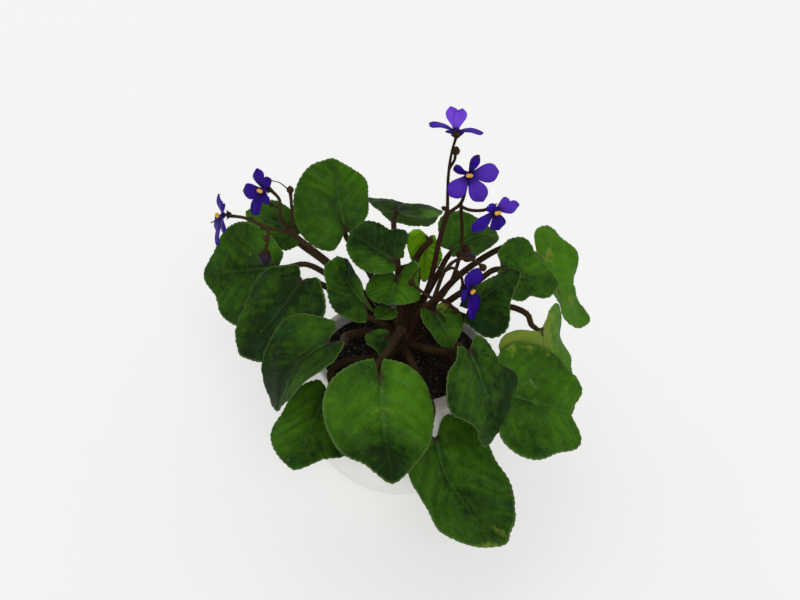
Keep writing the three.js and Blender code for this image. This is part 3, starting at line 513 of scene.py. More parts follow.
class Tree:
    """A geometry node tree with named inputs, one of them the material of what it makes."""

    def __init__(self, name, **inputs):
        self.tree = bpy.data.node_groups.new(name, "GeometryNodeTree")
        face = self.tree.interface
        face.new_socket("Geometry", in_out="INPUT", socket_type="NodeSocketGeometry")
        for label, kind in {**inputs, "Material": "Material"}.items():
            face.new_socket(label, in_out="INPUT", socket_type="NodeSocket" + kind)
        face.new_socket("Geometry", in_out="OUTPUT", socket_type="NodeSocketGeometry")
        self.start = self.tree.nodes.new("NodeGroupInput")

    def given(self, label):
        """The tree's own input of this name."""
        return self.start.outputs[label]

    def node(self, *given):
        return add_node(self.tree, *given)

    def math(self, operation, a, b):
        return self.node("ShaderNodeMath", {"operation": operation}, {0: a, 1: b})

    def random(self, low, high, seed=None):
        """Random numbers or vectors from low to high."""
        kind = "FLOAT_VECTOR" if isinstance(low, tuple) else "FLOAT"
        return self.node("FunctionNodeRandomValue", {"data_type": kind}, {
            "Min": low, "Max": high, "Seed": seed or self.given("Seed")}, "Value")

    def scatter(self, mark):
        """The node that strews points, Density to a square metre, over the faces with the mark."""
        kind = {"data_type": "FLOAT"}
        marked = self.node("GeometryNodeInputNamedAttribute", kind, {"Name": mark}, "Attribute")
        density = self.math("MULTIPLY", self.given("Density"), marked)
        made = self.tree.nodes.new("GeometryNodeDistributePointsOnFaces")
        links = {"Mesh": self.given("Geometry"), "Density": density, "Seed": self.given("Seed")}
        for label, socket in links.items():
            self.tree.links.new(socket, made.inputs[label])
        return made

    def placed(self, scatter, shape, turn, size):
        """The shape at every scattered point."""
        return self.node("GeometryNodeInstanceOnPoints", None, {
            "Points": scatter.outputs["Points"], "Instance": shape, "Rotation": turn, "Scale": size},
            "Instances")

    def close(self, geometry):
        """Makes the geometry real, gives it the material and ends the tree."""
        real = self.node("GeometryNodeRealizeInstances", None, {"Geometry": geometry}, "Geometry")
        covered = self.node("GeometryNodeSetMaterial", None, {
            "Geometry": real, "Material": self.given("Material")}, "Geometry")
        end = self.tree.nodes.new("NodeGroupOutput")
        self.tree.links.new(covered, end.inputs[0])
        return self

    def run(self, source, name, values):
        """The tree's result on the source object, as a new plain mesh."""
        modifier = source.modifiers.new(name, "NODES")
        modifier.node_group = self.tree
        for item in self.tree.interface.items_tree:
            if item.item_type == "SOCKET" and item.in_out == "INPUT" and item.name in values:
                modifier[item.identifier] = values[item.name]
        graph = bpy.context.evaluated_depsgraph_get()
        mesh = bpy.data.meshes.new_from_object(source.evaluated_get(graph), depsgraph=graph)
        source.modifiers.remove(modifier)
        mesh.name = name
        return mesh


def add_object(name, mesh, material=None, smooth=True):
    """An object in the scene with this mesh and material."""
    piece = bpy.data.objects.new(name, mesh)
    bpy.context.scene.collection.objects.link(piece)
    if material:
        mesh.materials.clear()
        mesh.materials.append(material)
    if smooth:
        mesh.shade_smooth()
    return piece


def dress(piece, slot, *nodes):
    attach(piece, BODY)
    if nodes:
        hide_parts(*nodes)
    return piece


def add_numbers(mesh, label, values, domain="POINT"):
    """A number for each point or face of the mesh, under a name."""
    layer = mesh.attributes.new(label, "FLOAT", domain)
    layer.data.foreach_set("value", np.asarray(values, dtype=np.float32))


def mesh_of(name, points, faces, marks=None):
    """A mesh from points in millimetres, with numbers on its points."""
    mesh = bpy.data.meshes.new(name)
    corners = [tuple(p) for p in np.asarray(points) * MM]
    mesh.from_pydata(corners, [], [tuple(int(i) for i in f) for f in faces])
    for label, values in (marks or {}).items():
        add_numbers(mesh, label, values)
    mesh.update()
    return mesh


def joined(parts):
    """Points and faces of several (points, faces) as one."""
    points, faces, first = [], [], 0
    for some, more in parts:
        points.append(np.asarray(some, float))
        faces.extend(tuple(i + first for i in f) for f in more)
        first += len(some)
    return np.vstack(points), faces


def unit(v):
    """The vector at length 1."""
    v = np.asarray(v, float)
    return v / np.linalg.norm(v)


def smooth_path(points, count):
    """Evenly spaced points on a smooth curve through the given ones."""
    p = np.asarray(points, float)
    p = np.vstack([2 * p[0] - p[1], p, 2 * p[-1] - p[-2]])
    fine = []
    for i in range(1, len(p) - 2):
        a, b, c, d = p[i - 1:i + 3]
        t0, t1, t2 = (max(np.linalg.norm(q) ** 0.5, 1e-3) for q in (b - a, c - b, d - c))
        m1 = ((b - a) / t0 - (c - a) / (t0 + t1) + (c - b) / t1) * t1
        m2 = ((c - b) / t1 - (d - b) / (t1 + t2) + (d - c) / t2) * t1
        for t in np.linspace(0, 1, 24, endpoint=False):
            h = (2 * t**3 - 3 * t**2 + 1, t**3 - 2 * t**2 + t, 3 * t**2 - 2 * t**3, t**3 - t**2)
            fine.append(h[0] * b + h[1] * m1 + h[2] * c + h[3] * m2)
    fine.append(p[-2])
    fine = np.array(fine)
    run = np.concatenate([[0], np.cumsum(np.linalg.norm(np.diff(fine, axis=0), axis=1))])
    at = np.linspace(0, run[-1], count)
    return np.column_stack([np.interp(at, run, fine[:, k]) for k in range(3)])


def capped(rings, sides):
    """Faces of a closed body whose points are a first one, those of each ring, and a last one."""
    faces, last = [], rings * sides + 1
    for i in range(sides):
        j = (i + 1) % sides
        faces.append((0, 1 + j, 1 + i))
        for a in range(1, last - sides, sides):
            b = a + sides
            faces.append((a + i, a + j, b + j, b + i))
        faces.append((last, last - sides + i, last - sides + j))
    return faces


def turned(profile, sides):
    """A round body about +Z from a list of (radius, height) that starts and ends on the axis."""
    ring = [(r, z) for r, z in profile if r > 0]
    points = [(0, 0, profile[0][1])]
    for r, z in ring:
        angle = np.arange(sides) * 2 * np.pi / sides
        points.extend(zip(r * np.cos(angle), r * np.sin(angle), np.full(sides, z)))
    points.append((0, 0, profile[-1][1]))
    return np.array(points, float), capped(len(ring), sides)


def knob(centre, direction, radius, length, sides=14, rings=9, point=0.0):
    """A rounded body along a direction; point draws its far end out."""
    profile = [(0, -length / 2)]
    for k in range(1, rings):
        t = math.pi * k / rings
        z = -math.cos(t)
        profile.append((radius * math.sin(t) * (1 - point * max(0, z)), z * length / 2))
    profile.append((0, length / 2))
    points, faces = turned(profile, sides)
    turn = Vector((0, 0, 1)).rotation_difference(Vector(direction).normalized()).to_matrix()
    return points @ np.array(turn).T + np.asarray(centre, float), faces


# Leaf shape
def around(theta, values):
    """Smooth closed blend of the values given at PLACES points."""
    t = (theta / (2 * np.pi) % 1) * PLACES
    i = np.floor(t).astype(int)
    f = t - i
    v = np.asarray(values, float)
    a, b, c, d = (v[(i + k) % PLACES] for k in (-1, 0, 1, 2))
    return b + 0.5 * f * (c - a + f * (2 * a - 5 * b + 4 * c - d + f * (3 * (b - c) + d - a)))


def leaf_axes(leaf):
    """Joint of a blade, the ways along, across and off it, and its length."""
    joint = np.array(leaf["joint"], float)
    along = np.array(leaf["tip"], float) - joint
    length = np.linalg.norm(along)
    along /= length
    flat = unit(np.cross(along, (0, 0, 1)))
    up = np.cross(flat, along)
    roll = math.radians(leaf.get("roll", 0))
    side = flat * math.cos(roll) - up * math.sin(roll)
    normal = flat * math.sin(roll) + up * math.cos(roll)
    return joint, along, side, normal, length


def leaf_margin(theta, leaf, length):
    """Distance of the plain margin from the blade's middle at each angle, and where that middle is."""
    lobe = leaf.get("lobe", USUAL_LOBE) * length
    centre = (length - lobe) / 2
    c, s = np.cos(theta), np.sin(theta)
    r = 1 / np.hypot(c / ((length + lobe) / 2), s / ((leaf["width"] / 2) * (1 - 0.1 * c)))
    r = r + around(theta, leaf.get("edge", (0,) * PLACES))
    r = r + TIP_REACH * np.exp(-((np.minimum(theta, 2 * np.pi - theta) / TIP_ANGLE) ** 2))
    notch = math.radians(leaf.get("notch", USUAL_NOTCH))
    k = np.clip(1 - np.abs(theta - np.pi) / notch, 0, 1)
    k = k * k * (3 - 2 * k)
    return r * (1 - k) + centre * k, centre


def leaf_point(rho, theta, leaf, axes, margin, centre, detail):
    """Places on the blade's middle sheet; detail(x, y) lifts them."""
    joint, along, side, normal, length = axes
    r = margin * rho
    x = centre + r * np.cos(theta)
    y = r * np.sin(theta)
    u, v = x / length, y / (leaf["width"] / 2)
    droop = np.where(u > 0, 4 * u * (1 - u), 2.4 * u)
    lift = leaf.get("arch", 0) * droop + leaf.get("cup", 0) * v * v
    lift = lift + leaf.get("fold", 0) * (np.sqrt(v * v + 0.01) - 0.1)
    if "rise" in leaf:
        lift = lift + rho**2.5 * around(theta, leaf["rise"])
    lift = lift + detail(x, y)
    shift = leaf.get("bend", 0) * droop
    place = joint + x[..., None] * along + (y + shift)[..., None] * side + lift[..., None] * normal
    return place, x, y


def veins(x, y, leaf, length):
    """Midrib and side veins of a blade, each from 0 to 1, and the swelling between the veins."""
    s = np.abs(y) / (leaf["width"] / 2)
    u = x / length
    own = length + 3 * leaf["width"] + np.where(y < 0, 7, 0)
    taper = np.clip(1.15 - u, 0, 1)
    rib = np.exp(-((y / (0.4 + 0.5 * taper)) ** 2)) * np.clip(1.1 - u, 0, 1) * (x > -0.5)
    bend = 0.34 * s + 0.14 * s * s + 0.02 * np.sin(5 * s + own)
    phase = (u - bend + np.where(y < 0, 0.06, 0)) / VEIN_STEP
    phase = phase + 0.16 * np.sin(2.3 * phase + own)
    nearest = np.round(phase)
    gap = np.abs(phase - nearest) * VEIN_STEP * length * 0.8
    real = (nearest > -2.5) & (nearest < 4.5)
    strength = 0.65 + 0.35 * np.sin(5.1 * nearest + own)
    width = 0.4 * np.clip(1.15 - s, 0.35, 1)
    side = np.exp(-((gap / width) ** 2)) * real * strength
    side = side * np.clip((1.02 - s) * 2.5, 0, 1) * np.clip(s * 9, 0, 1)
    swell = strength * (0.5 - 0.5 * np.cos(2 * np.pi * (phase - nearest)))
    swell = swell * np.clip(s * 3, 0, 1) * np.clip((1.05 - s) * 2.5, 0, 1)
    return rib, side, swell


def sheet_normals(points, faces):
    """Way off the sheet at each of its points."""
    tri = np.array([(f[0], f[1], f[2]) for f in faces] + [(f[0], f[2], f[3]) for f in faces if len(f) == 4])
    n = np.cross(points[tri[:, 1]] - points[tri[:, 0]], points[tri[:, 2]] - points[tri[:, 0]])
    total = np.zeros_like(points)
    for k in range(3):
        np.add.at(total, tri[:, k], n)
    return total / np.maximum(np.linalg.norm(total, axis=1, keepdims=True), 1e-12)


def thickened(points, faces, rim, above, below):
    """A closed solid round a sheet: rim lists the margin so that the strip faces outwards."""
    normals = sheet_normals(points, faces)
    n = len(points)
    solid = np.vstack([points + normals * above[:, None], points - normals * below[:, None]])
    closed = [tuple(f) for f in faces] + [tuple(i + n for i in reversed(f)) for f in faces]
    strip = [(a, b, b + n, a + n) for a, b in zip(rim, [*rim[1:], rim[0]])]
    return solid, closed + strip, len(strip)


def soft_spots(spots, u, v):
    """Sum of soft round spots, each given as (along, across, radius, strength)."""
    total = np.zeros(len(u))
    for along, across, radius, strength in spots:
        total += strength * np.exp(-((u - along) ** 2 + (v - across / 2) ** 2) / radius**2)
    return total


def blade_relief(leaf, length, sizes):
    """A function of place on the blade that lifts it: veins, quilting and soft waves."""
    vein_depth, quilting = sizes.vein_depth / MM, sizes.quilting / MM
    width = leaf["width"]

    def detail(x, y):
        rib, side, swell = veins(x, y, leaf, length)
        wave = 0.8 * np.sin(x * 0.21 + 0.08 * y + length) * np.cos(y * 0.19 + width)
        wave = wave + 0.3 * np.sin(x * 0.43 - y * 0.2 + width) * np.cos(y * 0.5 + length)
        return blade_scale(leaf) * (quilting * swell - vein_depth * (3 * rib + side) + wave)

    return detail


def blade_scale(leaf):
    """How strong the relief is: less on small blades."""
    return min(1, leaf["width"] / FULL_BLADE)


def toothed(theta, leaf, length, sizes):
    """How far the teeth reach in or out from the plain margin at each angle."""
    outline = math.pi * (leaf["width"] + length * 1.2) / 2
    teeth = max(10, round(outline * MM / sizes.tooth_pitch))
    wobble = 0.5 * np.sin(3 * theta + length) + 0.3 * np.sin(7 * theta)
    return (sizes.tooth_depth / MM) * (np.abs(np.cos((teeth * theta + wobble) / 2)) ** 0.7 - 1)


def blade_sheet(leaf, axes, sizes):
    """The blade's middle sheet: points, faces, margin, and each point's place along, across and outwards."""
    length = axes[4]
    spokes, rings = sizes.leaf_spokes, sizes.leaf_rings
    if leaf["width"] < SMALL_BLADE:
        spokes, rings = spokes * 2 // 3, rings * 2 // 3
    theta = np.arange(spokes) * 2 * np.pi / spokes
    margin, centre = leaf_margin(theta, leaf, length)
    tooth = toothed(theta, leaf, length, sizes)
    R, T = np.meshgrid(np.linspace(0, 1, rings + 1)[1:] ** 0.85, theta, indexing="ij")
    reach = margin + MARGIN_SHIFT + tooth * R**8
    detail = blade_relief(leaf, length, sizes)
    sheet, x, y = leaf_point(R, T, leaf, axes, reach, centre, detail)
    middle, mx, my = leaf_point(np.zeros(1), np.zeros(1), leaf, axes, np.ones(1), centre, detail)
    points = np.vstack([middle, sheet.reshape(-1, 3)])
    faces = [(0, 1 + (i + 1) % spokes, 1 + i) for i in range(spokes)]
    for a in range(1, 1 + (rings - 1) * spokes, spokes):
        b = a + spokes
        faces += [(a + i, a + (i + 1) % spokes, b + (i + 1) % spokes, b + i) for i in range(spokes)]
    rim = [1 + (rings - 1) * spokes + i for i in range(spokes)]
    return points, faces, rim, np.append(mx, x), np.append(my, y), np.append(0, R)


def leaf_mesh(name, leaf, sizes):
    """A blade as a closed solid, with the numbers that its finish reads."""
    axes = leaf_axes(leaf)
    length = axes[4]
    points, faces, rim, xs, ys, rhos = blade_sheet(leaf, axes, sizes)
    rib, side, swell = veins(xs, ys, leaf, length)
    half = 0.5 * sizes.leaf_thickness / MM
    thin = half * (1 - 0.5 * np.clip((rhos - 0.85) / 0.15, 0, 1))
    midrib = 1.1 * np.exp(-((ys / 1.3) ** 2)) * np.clip(1.05 - xs / length, 0, 1) * (xs > -1)
    keel = blade_scale(leaf) * (midrib + 0.35 * side)
    solid, closed, strip = thickened(points, faces, rim, thin, thin + keel)
    numbers = {label: soft_spots(leaf.get(label, ()), xs / length, ys / leaf["width"]) for label in SPOTS}
    # The shade number is the leaf's tone with its shade spots, partly its own green and partly painted light
    # and shade.
    numbers["shade"] += leaf["light"]
    # Painted shade along the midrib near the joint, where the crease lies in shadow.
    crease_shade = np.exp(-((ys / 2.6) ** 2)) * np.clip(1 - xs / length, 0, 1) * (xs > 0) * (1 - rib)
    numbers.update({
        "rib": rib, "side_vein": side, "swell": swell, "rim": rhos, "crease_shade": crease_shade,
        "joint": np.exp(-np.hypot(xs, ys) / 2.6)})
    marks = {label: np.concatenate([v, v]) for label, v in numbers.items()}
    marks["under"] = np.repeat((0.0, 1.0), len(points))
    mesh = mesh_of(name, solid, closed, marks)
    add_numbers(mesh, "hairy", np.arange(len(closed)) >= len(closed) - strip, "FACE")
    return mesh


def petiole_path(leaf):
    """Points that a leaf's petiole passes, from the crown to under the blade's joint."""
    joint, along, _, normal, _ = leaf_axes(leaf)
    before, end, touch = (joint + far * along - under * normal for far, under in PETIOLE_TOUCH)
    height = min(max(POT_HEIGHT + 0.12 * (end[2] - POT_HEIGHT), LOWEST_ROOT), HIGHEST_ROOT)
    root = np.array([*(PETIOLE_ROOT * end[:2] / math.hypot(*end[:2])), height])
    via = [np.array(p, float) for p in leaf.get("via", ())]
    if not via:
        for t in (0.35, 0.7):
            via.append(root + (before - root) * t + (0, 0, 5 * math.sin(math.pi * t)))
    return [root, *via, before, end, touch]


# Flower shape
def flower_axes(flower):
    """Centre of a flower, and the ways that are forwards, up and right of it."""
    face = unit(flower[1])
    up = np.cross(face, unit(np.cross((0, 0, 1), face)))
    return np.array(flower[0], float), face, up, np.cross(up, face)


def petal(which, axes, thickness, seed):
    """A petal as a closed solid, with how far along and across it each point is."""
    angle, length, width, lift, twist = which
    centre, face, up, right = axes
    turn, raised = math.radians(angle), math.radians(lift)
    flat = up * math.cos(turn) + right * math.sin(turn)
    out = flat * math.cos(raised) + face * math.sin(raised)
    across = unit(np.cross(out, face))
    spun = math.radians(twist)
    across = across * math.cos(spun) + np.cross(out, across) * math.sin(spun)
    normal = np.cross(across, out)
    rows, columns = PETAL_ROWS, PETAL_COLUMNS
    t = np.sin(np.linspace(0, np.pi / 2, rows))[:, None] ** 0.9
    v = np.linspace(-1, 1, columns)[None, :]
    half = (width / 2) * (0.3 + 0.7 * np.sin(0.5 * np.pi * np.clip(t / PETAL_FULL, 0, 1) ** 1.3))
    half = half * np.sqrt(np.clip(1 - (np.clip(t - PETAL_FULL, 0, 1) / 0.345) ** 2.3, 0, 1))
    reach = PETAL_START + (length - PETAL_START) * (t - 0.05 * t * v * v)
    bulge = PETAL_BULGE * (np.sin(np.pi * t) - 0.5 * t * v * v)
    ruffle = 0.35 * np.sin(5 * v + seed) * t**2 + 0.3 * np.cos(9 * t + seed) * v * t
    points = (
        centre + reach[..., None] * out + (v * half)[..., None] * across
        + (bulge + ruffle)[..., None] * normal).reshape(-1, 3)
    grid = np.arange(rows * columns).reshape(rows, columns)
    corners = (grid[:-1, :-1], grid[:-1, 1:], grid[1:, 1:], grid[1:, :-1])
    faces = np.stack(corners, axis=-1).reshape(-1, 4).tolist()
    rim = [*grid[0], *grid[1:, -1], *grid[-1, -2::-1], *grid[-2:0:-1, 0]]
    shape = grid.shape
    edge = np.maximum(np.broadcast_to(np.abs(v), shape), np.broadcast_to(t, shape)).ravel()
    thin = thickness * 0.5 * (1 - 0.6 * edge**4)
    solid, closed, _ = thickened(points, faces, rim[::-1], thin, thin)
    fan = (v * (0.4 + 0.6 * (1 - t))).ravel()
    return solid, closed, np.tile(np.repeat(t, columns), 2), np.tile(fan, 2)


def tube_between(points, root, tip, sides=8, count=9):
    """A small closed tapering tube with round sections."""
    path = smooth_path(points, count)
    ahead = np.gradient(path, axis=0)
    ahead /= np.linalg.norm(ahead, axis=1, keepdims=True)
    flat = unit(np.cross(ahead[0], (0.3, 0.5, 0.8)))
    rings = []
    for k, (p, d) in enumerate(zip(path, ahead)):
        flat = unit(flat - d * flat.dot(d))
        other = np.cross(d, flat)
        r = root + (tip - root) * k / (count - 1)
        turn = np.arange(sides) * 2 * np.pi / sides
        rings.append(p + r * (np.cos(turn)[:, None] * flat + np.sin(turn)[:, None] * other))
    return np.vstack([path[:1], *rings, path[-1:]]), capped(count, sides)


# Materials
def pot_finish(c):
    s = Surface("pot_plastic")
    height = s.height()
    patches, fine = s.noise(9, 5), s.noise(1.2, 4)
    rim = height.above(POT_HEIGHT - 12, POT_HEIGHT - 1)
    stain = (patches * 0.6 + fine * 0.5 + rim * 0.2).above(0.7, 0.92)
    dust = s.noise(30, 3).above(0.4, 0.75)
    shade = s.mix(dust * 0.25, c.pot, c.pot * 0.86)
    shade = s.mix(stain * 0.4, shade, c.grime)
    wall = POT_RIM_RADIUS - 3.7
    inside = 1 - s.from_axis().above(wall - 0.5, wall + 0.5)
    soiled = inside * height.above(SOIL_HEIGHT - 3, SOIL_HEIGHT)
    wet = (1 - height.above(SOIL_HEIGHT, POT_HEIGHT - 4)) * 0.3 + (patches - 0.5) * 0.5
    shade = s.mix((soiled * wet).clamp(), shade, c.grime)
    away = s.node("ShaderNodeVectorMath", {"operation": "DISTANCE"}, {
        0: s.place, 1: Vector(RIM_STAIN) * MM}, "Value") / MM
    shade = s.mix((1 - away.above(5, 16)) * (0.45 + fine * 0.5), shade, c.grime)
    return s.finish(shade, 0.3 + patches * 0.14 + stain * 0.3, s.bump(s.noise(0.5, 2), 0.015))


def soil_finish(c):
    s = Surface("soil_peat")
    clumps, grains = s.noise(2.4, 6, 0.7), s.noise(0.7, 3)
    shade = s.mix(clumps.above(0.5, 0.7), c.soil, c.soil * 2.4)
    shade = s.mix(grains.above(0.66, 0.74) * 0.5, shade, c.crumb)
    normal = s.bump(clumps * 0.7 + grains * 0.3, 0.6)
    return s.finish(shade, 0.75 + grains * 0.2, normal, {"Specular IOR Level": 0.2})


def crumb_finish(c):
    s = Surface("soil_crumbs")
    kind = s.mark("kind")
    shade = s.mix(kind.above(0.6, 1.0), c.soil * 1.6, c.crumb)
    shade = s.mix(kind.above(0.965, 0.99), shade, c.crumb_pale)
    grains = s.noise(0.5, 3)
    return s.finish(shade, 0.7 + grains * 0.2, s.bump(grains, 0.15), {"Specular IOR Level": 0.25})


def leaf_finish(c):
    s = Surface("leaf_skin")
    under, rim, tone_and_light, yellow, speck = map(s.mark, ("under", "rim", "shade", "yellow", "speck"))
    rib, side, swell, crease_shade, joint = map(s.mark, ("rib", "side_vein", "swell", "crease_shade", "joint"))
    broad, middle, small, fine = s.noise(16, 2), s.noise(5, 4), s.noise(1.8, 3), s.noise(0.5, 2)
    # The green follows the tone, partly the leaf's own and partly painted light and shade, with painted light
    # over the swellings between the veins and painted shade in the crease by the midrib.
    green = (tone_and_light + (broad - 0.5) * 0.5 + (middle - 0.5) * 0.9 + (small - 0.5) * 0.3 + (swell - 0.4) * 0.22
             - crease_shade * 0.45).clamp()
    top = s.mix(green, c.leaf_dark, c.leaf_light)
    # Painted bluish sheen: cooler green in patches where the blade is darker.
    painted_sheen = s.noise(11, 3).above(0.5, 0.75) * (1 - green)
    top = s.mix(painted_sheen * 0.6, top, c.leaf_blue)
    patch = (yellow - 0.3 + (middle - 0.5) * 1.2 + (small - 0.5) * 1.6).above(0.0, 0.6)
    patch = patch * yellow.above(0.02, 0.2)
    top = s.mix(patch * 0.6, top, c.leaf_yellow)
    top = s.mix((rib * 0.65 + side * 0.5) * (0.35 + tone_and_light * 0.6), top, c.vein)
    dry = (speck * 0.8 + (fine - 0.5) * 2.4).above(0.7, 1.0)
    dots = s.noise(1.3, 0).above(0.85, 0.9) * 0.3
    top = s.mix(dry * 0.7 + dots, top, c.speck)
    below = s.mix(tone_and_light.above(0.6, 1.2), c.leaf_under, c.leaf_glow)
    below = s.mix(middle.above(0.35, 0.65) * 0.3, below, c.leaf_light)
    below = s.mix((rib * 0.8 + side * 0.4) * 0.8, below, c.vein_under)
    shade = s.mix(under, top, below)
    # Painted light along the margin: a thin pale line where its hairs catch the light.
    edge = rim.above(0.955, 0.99) * (0.2 + middle * 0.5)
    shade = s.mix(edge, shade, c.leaf_edge)
    spot = (joint * 1.5 - 0.25 + middle * 0.2).clamp()
    shade = s.mix(spot.above(0.2, 0.8) * 0.85, shade, c.joint)
    return s.finish(shade, 0.45 + middle * 0.2, s.bump(fine * 0.4 + small * 0.6, 0.3), {"IOR": 1.15})


def stem_finish(c):
    s = Surface("stem_skin")
    broad, fine = s.noise(14, 3), s.noise(0.8, 3)
    green = (s.from_axis().above(12, 75) * 0.4 + (broad - 0.5) * 2.2 + 0.25).clamp()
    shade = s.mix(green, c.stem, c.stem_green)
    shade = s.mix(fine.above(0.55, 0.75) * 0.25, shade, c.stem * 0.45)
    return s.finish(shade, 0.5 + fine * 0.2, s.bump(fine, 0.2), {"IOR": 1.12})


def hair_finish(c):
    s = Surface("plant_hair")
    shade = s.mix(s.noise(6, 2), c.hair, c.hair * 0.55)
    return s.finish(shade, 0.6, None, {"IOR": 1.2})


def petal_finish(c):
    s = Surface("petal_violet")
    along, fan, pale, dry = map(s.mark, ("along", "fan", "pale", "dry"))
    streak = s.node("ShaderNodeTexWave", {"wave_type": "BANDS", "bands_direction": "X"}, {
        "Vector": s.node("ShaderNodeCombineXYZ", None, {"X": fan, "Y": along, "Z": 0.0}, "Vector"),
        "Scale": 3.2, "Distortion": 2.0, "Detail": 2.0}, "Fac")
    soft = s.noise(3, 3)
    heart, brim = 1 - along.above(0.05, 0.5), along.above(0.75, 1.0)
    # The pale mark paints light shining through each petal, and below 0 painted shade that deepens its
    # violet.
    deep = (streak * 0.2 + heart * 0.75 + brim * 0.25 + soft * 0.4 - 0.2 - pale * 0.6).clamp()
    shade = s.mix(pale.clamp(), c.petal, c.petal_pale)
    shade = s.mix(deep, shade, c.petal_deep)
    shade = s.mix(dry, shade, c.joint)
    normal = s.bump(s.noise(0.35, 2) * 0.6 + streak * 0.25, 0.12)
    return s.finish(shade, 0.5 + soft * 0.15, normal, {"IOR": 1.2})


def anther_finish(c):
    s = Surface("anther_yellow")
    grain = s.noise(0.35, 3)
    shade = s.mix(grain.above(0.4, 0.7), c.anther, c.anther * 0.6)
    return s.finish(shade, 0.7 + grain * 0.1, s.bump(grain, 0.1))


def bud_finish(c):
    s = Surface("bud_skin")
    soft, grain = s.noise(1.8, 3), s.noise(0.4, 2)
    shade = s.mix(soft.above(0.4, 0.7), c.bud, c.bud * 0.5)
    return s.finish(shade, 0.55 + grain * 0.1, s.bump(grain, 0.15), {"Specular IOR Level": 0.2})


def floor_finish(c):
    s = Surface("floor_plain")
    shade = s.mix(s.noise(900, 1) * 0.15, c.floor, c.floor * 0.97)
    # The floor glows by itself, painted light besides the lamps and sky.
    return s.finish(shade, 0.7, None, {
        "Specular IOR Level": 0.1, "Emission Color": (1, 1, 0.99), "Emission Strength": FLOOR_GLOW})


# Geometry node trees
def hair_tree():
    """Scatters small three-sided hairs over a surface where its faces are marked hairy."""
    t = Tree("hairs_on_surface", Density="Float", Length="Float", Width="Float", Seed="Int")
    scatter = t.scatter("hairy")
    hair = t.node("GeometryNodeMeshCone", {"fill_type": "TRIANGLE_FAN"}, {
        "Vertices": 3, "Radius Top": 0.0, "Radius Bottom": t.math("MULTIPLY", t.given("Width"), 0.5),
        "Depth": t.given("Length")}, "Mesh")
    lean = t.random((-0.6, -0.6, -3.0), (0.6, 0.6, 3.0))
    turn = t.node("FunctionNodeRotateRotation", {"rotation_space": "LOCAL"}, {
        "Rotation": scatter.outputs["Rotation"],
        "Rotate By": t.node("FunctionNodeEulerToRotation", None, {"Euler": lean}, "Rotation")}, "Rotation")
    return t.close(t.placed(scatter, hair, turn, t.random(0.5, 1.25)))


def crumb_tree():
    """Scatters rough crumbs over a surface where its faces are marked loose."""
    t = Tree("crumbs_on_soil", Density="Float", Size="Float", Seed="Int")
    lump = t.node("GeometryNodeMeshIcoSphere", None, {
        "Radius": t.math("MULTIPLY", t.given("Size"), 0.5), "Subdivisions": 1}, "Mesh")
    spin = t.random((-3.1, -3.1, -3.1), (3.1, 3.1, 3.1))
    size = t.random((0.25, 0.3, 0.2), (1.5, 1.1, 0.9))
    kind = t.random(0.0, 1.0, t.math("ADD", t.given("Seed"), 5))
    crumbs = t.placed(t.scatter("loose"), lump, spin, size)
    return t.close(t.node("GeometryNodeStoreNamedAttribute", {"data_type": "FLOAT", "domain": "INSTANCE"}, {
        "Geometry": crumbs, "Name": "kind", "Value": kind}, "Geometry"))


def tube_tree():
    """Sweeps a round section along curves, as thick as each curve's radius."""
    t = Tree("tubes_on_paths", Sides="Int")
    ring = t.node("GeometryNodeCurvePrimitiveCircle", None, {
        "Resolution": t.given("Sides"), "Radius": 1.0}, "Curve")
    radius = t.node("GeometryNodeInputRadius", None, None, "Radius")
    return t.close(t.node("GeometryNodeCurveToMesh", None, {
        "Curve": t.given("Geometry"), "Profile Curve": ring, "Scale": radius, "Fill Caps": True}, "Mesh"))


def paths_object(paths):
    """A curve object with one spline for each (points, radii), in millimetres."""
    data = bpy.data.curves.new("stem_paths", "CURVE")
    data.dimensions = "3D"
    for points, radii in paths:
        spline = data.splines.new("POLY")
        spline.points.add(len(points) - 1)
        for knot, p, r in zip(spline.points, points, radii):
            knot.co = (*(p * MM), 1)
            knot.radius = r * MM
    path = bpy.data.objects.new("stem_paths", data)
    bpy.context.scene.collection.objects.link(path)
    return path


def drop(piece):
    """Takes a helper object out again."""
    bpy.data.objects.remove(piece, do_unlink=True)


def pot_bulge(t):
    """Radius and height of the pot from its foot, t = 0, to its belly, t = 1."""
    flare = (1 - math.cos(t * math.pi / 2)) ** POT_FLARE
    return (
        POT_FOOT_RADIUS + (POT_BELLY_RADIUS - POT_FOOT_RADIUS) * math.sin(t * math.pi / 2),
        POT_FOOT_HEIGHT + (POT_BELLY_HEIGHT - POT_FOOT_HEIGHT) * flare)


def pot_shoulder(t):
    """Radius and height of the pot from its belly, t = 0, to its neck, t = 1."""
    return (
        POT_NECK_RADIUS + (POT_BELLY_RADIUS - POT_NECK_RADIUS) * (0.5 + 0.5 * math.cos(t * math.pi)),
        POT_BELLY_HEIGHT + (POT_HEIGHT - POT_RIM_DEPTH - POT_BELLY_HEIGHT) * t)


class VIOLET_OT_pot(bpy.types.Operator):
    """Makes the round-bellied plastic pot"""

    bl_idname = "violet.pot"
    bl_label = "Make the Pot"

    def execute(self, context):
        outer = [(POT_FOOT_RADIUS, 0)]
        outer += [pot_bulge(t) for t in np.linspace(0, 1, 20)[1:]]
        outer += [pot_shoulder(t) for t in np.linspace(0, 1, 18)[1:]]
        lip = [(POT_RIM_RADIUS + out, POT_HEIGHT - down) for out, down in POT_LIP]
        inner = [(r - POT_WALL, max(z, POT_FLOOR)) for r, z in outer[1:]][::-1]
        profile = [(0, 0), *outer, *lip, *inner, (POT_FOOT_RADIUS - POT_WALL - 1, POT_FLOOR), (0, POT_FLOOR)]
        mesh = mesh_of("pot_plastic", *turned(profile, POT_SIDES))
        dress(add_object("plastic_pot", mesh, pot_finish(context.scene.violet_colours)), "pot", "pot")
        return {"FINISHED"}


